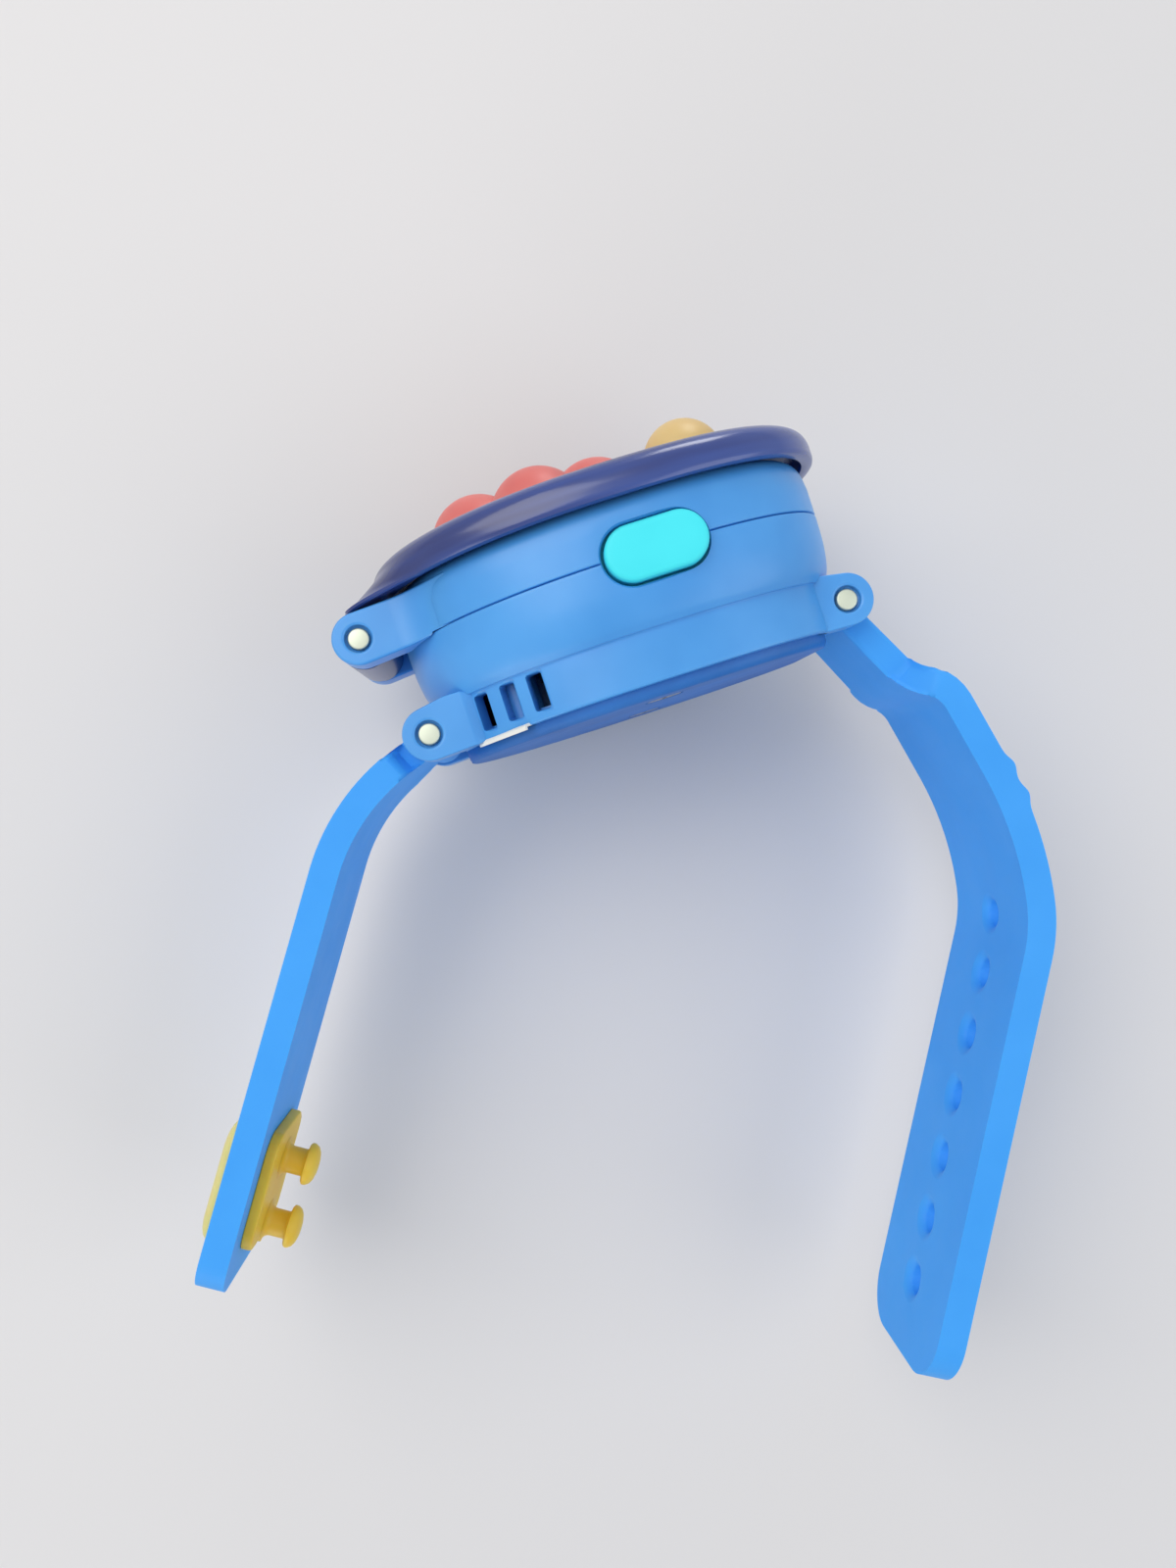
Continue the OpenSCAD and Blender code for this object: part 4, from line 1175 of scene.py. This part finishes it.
@dataclass
class Lid:
    """The navy lid, its hinge and the flower on it."""

    # (share of the height, share of the crown) from the rim up to the flat top
    shares: tuple[Point, ...] = ((0.12, 0), (0.42, 0.005), (0.6, 0.035), (0.73, 0.09),
                                 (0.84, 0.19), (0.93, 0.42), (1, 1))
    # the lip's rounded edges: (inset from the inner wall, height), then from the outer one
    lip_inner: tuple[Point, ...] = ((0.0, 0.35), (-0.12, 0.1), (-0.4, 0.0))
    lip_outer: tuple[Point, ...] = ((0.5, 0.0), (0.16, 0.12), (0.03, 0.38))
    steps: int = 384
    flower: Point = (-5.0, 0.0)
    petals: int = 6
    petal_reach: float = 8.2
    petal_radius: float = 5.4
    petal_height: float = 4.4
    bloom_radius: float = 4.2
    bloom_height: float = 5.4
    bud: Point = (12.8, 6.0)
    bud_radius: float = 4.6
    bud_height: float = 5.2
    disc_rim: float = 1.0
    disc_height: float = 1.0
    dome_foot: float = 0.05
    dome_steps: int = 22
    bore_reach: float = 9.0
    knuckle_edge: float = 0.3
    tongue_reach: float = 0.8
    tongue_share: float = 0.6
    tongue_flat: float = 8.5
    tongue_fade: float = 15.5
    tongue_order: float = 1.6

    def side(self, wall: float) -> list[Point]:
        """The lid's side from its rim to its flat top.

        Args:
            wall: how far in from the outer face it runs.

        Returns:
            Points as (inset, level).
        """
        return curve_through([(wall - S.overhang + share * S.crown,
                               S.rim + level * (S.lid_height - wall))
                              for level, share in self.shares], 5)

    def drawn_out(self, co: Vector, share: float, tip: float, foot: float) -> Vector:
        """Draws the lid's hinge end out into its tongue.

        Args:
            co: a point of the lid's side.
            share: how much of the tongue's reach is due at its level.
            tip: the tongue's tip along X.
            foot: the tongue's underside.

        Returns:
            Where the point goes.
        """
        away = (abs(co.z) - self.tongue_flat) / (self.tongue_fade - self.tongue_flat)
        if co.x > S.middle or share <= 0 or away >= 1:
            return co
        fade = 1 - max(0.0, away)
        fade = fade * fade * (3 - 2 * fade)
        across = abs(co.z) / (S.half_width + S.overhang)
        edge = S.middle - (S.reach_12 + S.overhang) * power(1 - power(across, S.round_12),
                                                            1 / S.round_12)
        return Vector((co.x + (tip - edge) * share * fade,
                       co.y + (foot - S.rim) * share * share * fade, co.z))

    def shell(self) -> None:
        """Builds the lid's shell with its tongue and knuckle."""
        inner = list(reversed(self.side(S.lid_wall)))
        inner += [(S.lid_wall - S.overhang + inset, S.rim + up) for inset, up in self.lip_inner]
        edge = S.middle - S.reach_12 - S.overhang
        foot = S.hinge[1] + S.ear_radius + S.gap
        tip = S.hinge[0] - self.tongue_reach
        height = self.tongue_share * S.lid_height
        rings = [(inset, level, 0.0) for inset, level in inner]
        rings += [(inset - S.overhang, S.rim + up, 1.0) for inset, up in self.lip_outer]
        rings += [(inset, level, power(1 - (level - S.rim) / height, self.tongue_order))
                  for inset, level in self.side(0.0)]
        form = Form().skin([[self.drawn_out(Vector((x, level, z)), share, tip, foot)
                             for x, z in case_ring(inset, self.steps)]
                            for inset, level, share in rings])
        outline = hull_outline(eye(S.hinge) + [
            (x, y) for x in (tip, edge + S.lid_wall - S.gap)
            for y in (foot, foot + self.tongue_reach)])
        knuckle = Form().prism(outline, -S.knuckle_half, S.knuckle_half, Axis.Z,
                               self.knuckle_edge)
        knuckle.cut(Cut.AWAY, rod(S.hinge, S.pin_radius + S.running, -self.bore_reach,
                                  self.bore_reach))
        form.add(knuckle)
        form.piece("lid_cover", "lid", Finishes.LID, "lid", ["lid_shell"])

    def dome(self, place: Point, radius: float, height: float) -> Form:
        """A dome on the lid's flat top.

        Args:
            place: its middle, as (x, z).
            radius: its radius at the foot.
            height: its height.

        Returns:
            The dome.
        """
        ball = (radius * radius + height * height) / (2 * height)
        low = math.asin((ball - height) / ball)
        profile = [(0, -self.dome_foot), (radius, -self.dome_foot)]
        for k in range(self.dome_steps + 1):
            turn = low + (math.pi / 2 - low) * k / self.dome_steps
            profile.append((ball * math.cos(turn), height - ball + ball * math.sin(turn)))
        spot = Matrix.Translation((place[0], S.rim + S.lid_height, place[1]))
        return Form().lathe(profile, spot @ Z_TO_Y, 72)

    def decoration(self) -> None:
        """Builds the coral petals, the yellow middle and the bud."""
        petals = Form()
        for number in range(self.petals):
            turn = math.tau * (number + 0.5) / self.petals
            place = (self.flower[0] + self.petal_reach * math.cos(turn),
                     self.flower[1] + self.petal_reach * math.sin(turn))
            petals.add(self.dome(place, self.petal_radius, self.petal_height))
        top = S.rim + S.lid_height
        petals.add(rod_y(*self.flower, self.petal_radius + self.disc_rim, top,
                         top + self.disc_height))
        petals.piece("flower_petals", "lid", Finishes.CORAL, "petals", ["lid_petals"])
        middle = self.dome(self.flower, self.bloom_radius, self.bloom_height)
        middle.add(self.dome(self.bud, self.bud_radius, self.bud_height))
        middle.piece("flower_middle_and_bud", "lid", Finishes.CREAM, "bloom", ["lid_bloom"])

    def build(self) -> None:
        """Builds every piece of the lid."""
        self.shell()
        self.decoration()


@dataclass
class Path:
    """A strap's route: straight and bent stretches from a pose."""

    start: Pose
    stretches: tuple[Point, ...]
    poses: list[tuple[float, Pose, float]] = field(default_factory=list)

    @staticmethod
    def along(pose: Pose, length: float, curve: float) -> Pose:
        """The pose after a stretch.

        Args:
            pose: where it starts, as (x, y, heading in degrees).
            length: its length.
            curve: its curvature, one over a radius, positive to the left.

        Returns:
            Where it ends.
        """
        heading = math.radians(pose[2])
        if abs(curve) < STRAIGHT:
            return (pose[0] + length * math.cos(heading), pose[1] + length * math.sin(heading),
                    pose[2])
        turn = length * curve
        return (pose[0] + (math.sin(heading + turn) - math.sin(heading)) / curve,
                pose[1] - (math.cos(heading + turn) - math.cos(heading)) / curve,
                pose[2] + math.degrees(turn))

    def __post_init__(self) -> None:
        """Works out the pose at which each stretch starts."""
        at, pose = 0.0, self.start
        for length, curve in self.stretches:
            self.poses.append((at, pose, curve))
            pose = self.along(pose, length, curve)
            at += length

    def place(self, co: Vector) -> Vector:
        """Puts a point of the strap laid flat where it lies when bent.

        Args:
            co: the point, as (along, out, across).

        Returns:
            Its place on the bent strap.
        """
        at, pose, curve = self.poses[0]
        for entry in self.poses:
            if co.x >= entry[0]:
                at, pose, curve = entry
        here = self.along(pose, co.x - at, curve)
        heading = math.radians(here[2])
        return Vector((here[0] - co.y * math.sin(heading), here[1] + co.y * math.cos(heading),
                       co.z))


def stretch(radius: float, turn: float) -> Point:
    """A bend as (length, curvature), from its radius and its turn in degrees."""
    return (radius * abs(math.radians(turn)), math.copysign(1 / radius, turn))


@dataclass
class Strap:
    """One strap of soft plastic, with its barrel, neck and tail."""

    name: str
    node: str
    body: str
    pin: Point
    path: Path
    neck_free: float
    shoulder: float
    length: float
    corner: float
    holes: tuple[float, ...] = ()
    hole_radius: float = 1.65
    ridges: tuple[float, ...] = ()
    rivets: tuple[float, ...] = ()
    rivet_radius: float = 1.12
    edge: float = 0.65
    # the shoulder from neck to body: (along, across) from its start, then from its end
    shoulder_in: tuple[Point, ...] = ((-0.8, 0.0), (-0.3, 0.08), (0.1, 0.3))
    shoulder_out: tuple[Point, ...] = ((-0.5, -0.45), (0.0, -0.1), (0.6, 0.0))
    # a hole's side: (beyond its radius, height) from its plain end, then up to its dish
    hole_in: tuple[Point, ...] = ((0.2, 0.0), (0.05, 0.06), (0.0, 0.2))
    hole_out: tuple[Point, ...] = ((0.0, -0.8), (0.08, -0.58), (0.25, -0.38), (0.5, -0.2),
                                   (0.8, -0.07), (1.05, -0.01), (1.25, 0.03))
    hole_reach: float = 4.0
    ridge_height: float = 0.48
    ridge_half: float = 1.05
    ridge_skin: float = 0.3
    ridge_cuts: int = 9
    ridge_step: float = 0.3
    cut_step: float = 0.9
    barrel_edge: float = 0.3
    bore_reach: float = 9.0

    def outline(self) -> list[Point]:
        """The outline of the strap laid flat.

        Returns:
            Points as (along, across).
        """
        neck, half = S.neck / 2, S.strap_width / 2
        run, soft = self.neck_free, self.shoulder
        side = [(0.0, neck)]
        side += [(run + x, neck + z) for x, z in self.shoulder_in]
        side += [(run + soft + x, half + z) for x, z in self.shoulder_out]
        tip = arc((self.length - self.corner, half - self.corner), self.corner, 90, 0, 14)
        upper = side + tip
        return upper + [(x, -z) for x, z in reversed(upper)]

    def hole_tool(self, x: float) -> Form:
        """What a dished hole takes away, before the strap is bent.

        Args:
            x: its place along the strap.

        Returns:
            The tool.
        """
        half, reach = S.strap_thick / 2, self.hole_reach
        side = [(self.hole_radius + out, -half + up) for out, up in self.hole_in]
        side += [(self.hole_radius + out, half + up) for out, up in self.hole_out]
        profile = [(0, -reach), (side[0][0], -reach), *side, (side[-1][0], reach), (0, reach)]
        # the dish is on the strap's inner side
        turn = Matrix.Rotation(math.radians(90), 4, "X")
        return Form().lathe(profile, Matrix.Translation((x, 0, 0)) @ turn, 40)

    def ridge(self, co: Vector) -> Vector:
        """Raises the ridges on the outer side.

        Args:
            co: a point of the strap laid flat.

        Returns:
            Where the point goes.
        """
        if co.y > S.strap_thick / 2 - self.ridge_skin:
            for place in self.ridges:
                away = (co.x - place) / self.ridge_half
                co = Vector((co.x, co.y + self.ridge_height * math.exp(-away * away), co.z))
        return co

    def build(self) -> None:
        """Builds the strap flat, cuts it, slices it and bends it along its path."""
        half, reach, step = S.strap_thick / 2, self.hole_reach, self.cut_step
        form = Form().prism(self.outline(), -half, half, Axis.Y, self.edge, 4)
        tools = [self.hole_tool(x) for x in self.holes]
        tools += [rod_y(x, 0, self.rivet_radius, -reach, reach, 32) for x in self.rivets]
        form.cut(Cut.AWAY, *tools)
        form.sliced([step * k for k in range(1, int(self.length / step))])
        for place in self.ridges:
            form.sliced([place + self.ridge_step * k
                         for k in range(-self.ridge_cuts, self.ridge_cuts + 1)])
        form.bent(self.ridge).bent(self.path.place)
        side = S.neck / 2 - S.snug
        form.cut(Cut.JOIN, rod(self.pin, S.barrel_radius, -side, side, self.barrel_edge))
        form.cut(Cut.AWAY, rod(self.pin, S.pin_radius + S.running, -self.bore_reach,
                               self.bore_reach))
        form.piece(self.name, self.body, Finishes.STRAP, "straps", [self.node], 38)


@dataclass
class Clasp:
    """The yellow clasp: a domed cap outside and two studs inside."""

    pose: Pose
    middle: float
    length: float = 13.6
    width: float = 14.0
    corner: float = 2.5
    studs: tuple[float, ...] = ()
    rivets: tuple[float, ...] = ()
    plate: float = 1.3
    # the domed cap and the plate's rims: (inset, height)
    cap: tuple[Point, ...] = ((0, 0), (0, 0.6), (0.08, 0.92), (0.3, 1.2), (0.7, 1.45),
                              (1.3, 1.64), (2.1, 1.77), (3.1, 1.85), (4.2, 1.89), (5.4, 1.9))
    plate_foot: tuple[Point, ...] = ((0.1, 0.0), (0, 0.1))
    plate_rim: tuple[Point, ...] = ((0, -0.4), (0.1, -0.14), (0.4, 0))
    corner_share: float = 0.6
    least_corner: float = 0.8
    # a stud's stem with its fillet, then its mushroom head: (from that radius, height)
    stem_radius: float = 1.55
    stem: tuple[Point, ...] = ((0.9, -0.5), (0.9, 0.02), (0.5, 0.1), (0.2, 0.3), (0.04, 0.6),
                               (0, 0.9), (0, 2.35), (0.1, 2.52))
    head_radius: float = 2.4
    head: tuple[Point, ...] = ((-0.25, 2.6), (-0.04, 2.75), (0, 2.95), (-0.05, 3.2),
                               (-0.3, 3.6), (-0.8, 3.9), (-1.5, 4.07))
    stud_height: float = 4.1
    rivet_radius: float = 1.1
    rivet_ends: Point = (0.7, 0.5)

    def place(self) -> Matrix:
        """The straight tail's axes."""
        return (Matrix.Translation((self.pose[0], self.pose[1], 0))
                @ Matrix.Rotation(math.radians(self.pose[2]), 4, "Z"))

    def pad(self, inset: float) -> list[Point]:
        """The clasp's outline at an inset.

        Args:
            inset: distance in from its widest outline.

        Returns:
            Points as (along the tail, across).
        """
        corner = max(self.corner - inset * self.corner_share, self.least_corner)
        return [(self.middle + x, z) for x, z in
                soft_rectangle(self.length - 2 * inset, self.width - 2 * inset, corner)]

    def build(self) -> None:
        """Builds the cap, then the plate with its studs and rivets."""
        half = S.strap_thick / 2
        cap = Form().stack([(self.pad(inset), -half - height) for inset, height in self.cap],
                           Axis.Y)
        cap.moved(self.place()).piece("clasp_cap_dome", "strap_12", Finishes.CLASP_CAP,
                                      "clasp_cap", ["clasp_cap"])
        face = half + self.plate
        levels = [(inset, half + height) for inset, height in self.plate_foot]
        levels += [(inset, face + height) for inset, height in self.plate_rim]
        form = Form().stack([(self.pad(inset), level) for inset, level in levels], Axis.Y)
        profile = [(0, self.stem[0][1])]
        profile += [(self.stem_radius + out, height) for out, height in self.stem]
        profile += [(self.head_radius + out, height) for out, height in self.head]
        profile.append((0, self.stud_height))
        for x in self.studs:
            form.add(Form().lathe(profile, Matrix.Translation((x, face, 0)) @ Z_TO_Y, 40))
        outer, inner = self.rivet_ends
        for x in self.rivets:
            form.add(rod_y(x, 0, self.rivet_radius, -half - outer, half + inner, 32))
        form.moved(self.place()).piece("clasp_plate_and_studs", "strap_12", Finishes.CLASP,
                                       "clasp_studs", ["clasp_studs"])


@dataclass(frozen=True)
class Straps:
    """Both straps and the clasp, from the routes that the part's source gives."""

    short: float = 47.4
    short_angle: float = 204.0
    short_straight: float = 6.3
    short_bend: Point = (23.0, 32.4)
    short_neck: Point = (3.9, 1.4)
    short_corner: float = 4.0
    long: float = 49.5
    long_angle: float = -64.0
    long_straight: float = 10.3
    # the jog's two bends, the run after it and the body's two bends: (radius, turn)
    jog: tuple[Point, Point] = ((5.0, 32.7), (5.0, -47.0))
    after_jog: float = 8.2
    body: tuple[Point, Point] = ((41.4, -21.7), (17.7, -21.0))
    long_neck: Point = (10.6, 3.2)
    long_corner: float = 5.5
    ridge_turns: tuple[float, ...] = (1.0, 5.8)
    pitch: float = 7.5
    hole_count: int = 7
    last_hole: float = 8.3
    clasp: float = 13.6
    first_stud: float = 5.7
    clasp_back_share: float = 0.16
    rivet_share: float = 0.3

    def short_side(self) -> None:
        """Builds the short strap and its clasp."""
        path = Path((*S.pin_12, self.short_angle),
                    ((self.short_straight, 0.0), stretch(*self.short_bend), (self.short, 0.0)))
        tail, pose, _ = path.poses[-1]
        first = self.short - self.first_stud
        studs = (first, first - self.pitch)
        middle = (studs[0] + studs[1]) / 2 - self.clasp_back_share * self.pitch
        away = self.rivet_share * self.clasp
        rivets = (middle - away, middle + away)
        Strap("strap_short_skin", "strap_short", "strap_12", S.pin_12, path, *self.short_neck,
              tail + self.short, self.short_corner, rivets=tuple(tail + x for x in rivets)
              ).build()
        Clasp(pose, middle, self.clasp, studs=studs, rivets=rivets).build()

    def long_side(self) -> None:
        """Builds the long strap with its ridges and holes."""
        path = Path((*S.pin_6, self.long_angle),
                    ((self.long_straight, 0.0), *(stretch(*bend) for bend in self.jog),
                     (self.after_jog, 0.0), *(stretch(*bend) for bend in self.body),
                     (self.long, 0.0)))
        tail, body = path.poses[-1][0], path.poses[-3][0]
        length = tail + self.long
        holes = tuple(length - self.last_hole - self.pitch * k for k in range(self.hole_count))
        ridges = tuple(body + self.body[0][0] * math.radians(turn) for turn in self.ridge_turns)
        Strap("strap_long_skin", "strap_long", "strap_6", S.pin_6, path, *self.long_neck,
              length, self.long_corner, holes=holes, ridges=ridges).build()

    def build(self) -> None:
        """Builds both sides."""
        self.short_side()
        self.long_side()


@dataclass(frozen=True)
class Insides:
    """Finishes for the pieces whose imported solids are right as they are."""

    finishes: tuple[tuple[str, Finish], ...] = (
        ("cover_screws", Finishes.SCREW), ("case_screws", Finishes.SCREW),
        ("display_window", Finishes.WINDOW), ("dial_ring", Finishes.DIAL),
        ("lcd_panel", Finishes.GLASS), ("board_connectors", Finishes.ZEBRA),
        ("circuit_board", Finishes.BOARD), ("chip_blob", Finishes.EPOXY),
        ("buzzer", Finishes.NYLON), ("switch_body", Finishes.NYLON),
        ("switch_plunger", Finishes.PLUNGER), ("battery_cells", Finishes.CELL),
        ("contact_bridge", Finishes.BRONZE), ("contact_plus", Finishes.BRONZE),
        ("contact_minus", Finishes.BRONZE))

    def build(self) -> None:
        """Puts each finish on its node."""
        for node, finish in self.finishes:
            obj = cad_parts[node]
            obj.data.materials.clear()
            obj.data.materials.append(finish.build())
            LOG.info("%s is %s", node, finish.name)


# --------------------------------------------------------------------- studio


@dataclass(frozen=True)
class Lamp:
    """A soft rectangular lamp aimed at the watch."""

    name: str
    place: tuple[float, float, float]
    size: float
    watts: float
    tint: str

    def build(self, aim: Vector) -> None:
        """Hangs the lamp and turns it to the aim.

        Args:
            aim: the place it points at.
        """
        data = bpy.data.lights.new(self.name, "AREA")
        data.shape = "SQUARE"
        data.size = self.size
        data.energy = self.watts
        data.color = linear(self.tint)[:3]
        obj = bpy.data.objects.new(self.name, data)
        obj.location = self.place
        obj.rotation_euler = (aim - Vector(self.place)).to_track_quat("-Z", "Y").to_euler()
        bpy.context.scene.collection.objects.link(obj)


@dataclass(frozen=True)
class Studio:
    """Floor, lamps, sky and the camera of the photograph."""

    camera_place: tuple[float, float, float] = (-15.54, -9.59, 141.46)
    right: tuple[float, float, float] = (0.94954, -0.31005, 0.04731)
    down: tuple[float, float, float] = (-0.31, -0.9507, -0.00863)
    lens_px: float = 1220.0
    frame_px: float = 1200.0
    sensor_mm: float = 36.0
    nearest: float = 0.005
    lamps: tuple[Lamp, ...] = (
        Lamp("key", (-0.16, 0.24, 0.42), 0.4, 1.4, "#FFFAF4"),
        Lamp("fill", (0.34, -0.16, 0.34), 0.4, 0.7, "#F8FAFF"),
        Lamp("bounce", (-0.3, -0.3, 0.16), 0.3, 0.5, "#FFFFFF"),
        Lamp("rim", (0.22, 0.45, 0.08), 0.16, 0.5, "#FFFFFF"))
    sky_colour: str = "#F6F7F8"
    sky_light: float = 0.5
    sky_seen: float = 0.8
    floor_half: float = 1.5
    floor_colour: str = "#D9D9DB"
    floor_fade: Point = (0.14, 0.34)
    aim: tuple[float, float, float] = (0.0, 0.0, 0.02)

    def camera(self) -> None:
        """Sets the camera where the photograph was taken from."""
        right, down = Vector(self.right).normalized(), Vector(self.down)
        up = -(down - right * down.dot(right)).normalized()
        back = right.cross(up)
        turn = Matrix((right, up, back)).transposed().to_4x4()
        data = bpy.data.cameras.new("camera")
        data.sensor_fit = "HORIZONTAL"
        data.sensor_width = self.sensor_mm
        data.lens = self.sensor_mm * self.lens_px / self.frame_px
        data.clip_start = self.nearest
        obj = bpy.data.objects.new("camera", data)
        place = (Vector(self.camera_place) + Vector(S.offset)) * MM
        obj.matrix_world = Matrix.Translation(place) @ turn
        bpy.context.scene.collection.objects.link(obj)
        bpy.context.scene.camera = obj

    def floor(self) -> None:
        """Lays a plain pale floor that runs out into the backdrop far from the watch."""
        mesh = bpy.data.meshes.new("floor")
        half = self.floor_half
        mesh.from_pydata([(-half, -half, 0), (half, -half, 0), (half, half, 0), (-half, half, 0)],
                         [], [(0, 1, 2, 3)])
        mat = bpy.data.materials.new("floor_card")
        mat.use_nodes = True
        tree = mat.node_tree
        card = tree.nodes["Principled BSDF"]
        feed(tree, card, {"Base Color": linear(self.floor_colour), "Roughness": 0.8,
                          "Specular IOR Level": 0.2})
        place = add_node(tree, "ShaderNodeTexCoord", {})
        away = add_node(tree, "ShaderNodeVectorMath", {0: place.outputs["Object"]},
                        operation="LENGTH")
        far = add_node(tree, "ShaderNodeMapRange", {
            "Value": away.outputs["Value"], "From Min": self.floor_fade[0],
            "From Max": self.floor_fade[1]}, interpolation_type="SMOOTHSTEP")
        path = add_node(tree, "ShaderNodeLightPath", {})
        share = add_node(tree, "ShaderNodeMath", {
            0: far.outputs["Result"], 1: path.outputs["Is Camera Ray"]}, operation="MULTIPLY")
        backdrop = add_node(tree, "ShaderNodeEmission", {
            "Color": linear(self.sky_colour), "Strength": self.sky_seen})
        blend = add_node(tree, "ShaderNodeMixShader", {
            "Fac": share.outputs["Value"], 1: card.outputs["BSDF"],
            2: backdrop.outputs["Emission"]})
        feed(tree, tree.nodes["Material Output"], {"Surface": blend.outputs["Shader"]})
        mesh.materials.append(mat)
        obj = bpy.data.objects.new("floor", mesh)
        bpy.context.scene.collection.objects.link(obj)

    def build(self) -> None:
        """Builds the whole studio."""
        self.camera()
        self.floor()
        for lamp in self.lamps:
            lamp.build(Vector(self.aim))
        world = bpy.data.worlds.new("studio")
        world.use_nodes = True
        tree = world.node_tree
        # the eye, metal and glass see the pale backdrop; the light itself stays soft
        path = add_node(tree, "ShaderNodeLightPath", {})
        seen = path.outputs["Is Camera Ray"]
        for ray in ("Is Glossy Ray", "Is Transmission Ray"):
            seen = add_node(tree, "ShaderNodeMath", {0: seen, 1: path.outputs[ray]},
                            operation="MAXIMUM").outputs["Value"]
        level = add_node(tree, "ShaderNodeMapRange", {
            "Value": seen, "To Min": self.sky_light, "To Max": self.sky_seen})
        feed(tree, tree.nodes["Background"], {
            "Color": linear(self.sky_colour), "Strength": level.outputs["Result"]})
        bpy.context.scene.world = world
        bpy.context.scene.view_settings.view_transform = "Standard"


def main() -> None:
    """Builds the watch and its studio in order."""
    logging.basicConfig(level=logging.INFO, format="%(name)s: %(message)s")
    Studio().build()
    CaseShells().build()
    SideButton().build()
    Lid().build()
    Straps().build()
    Insides().build()


if __name__ == "__main__":
    main()
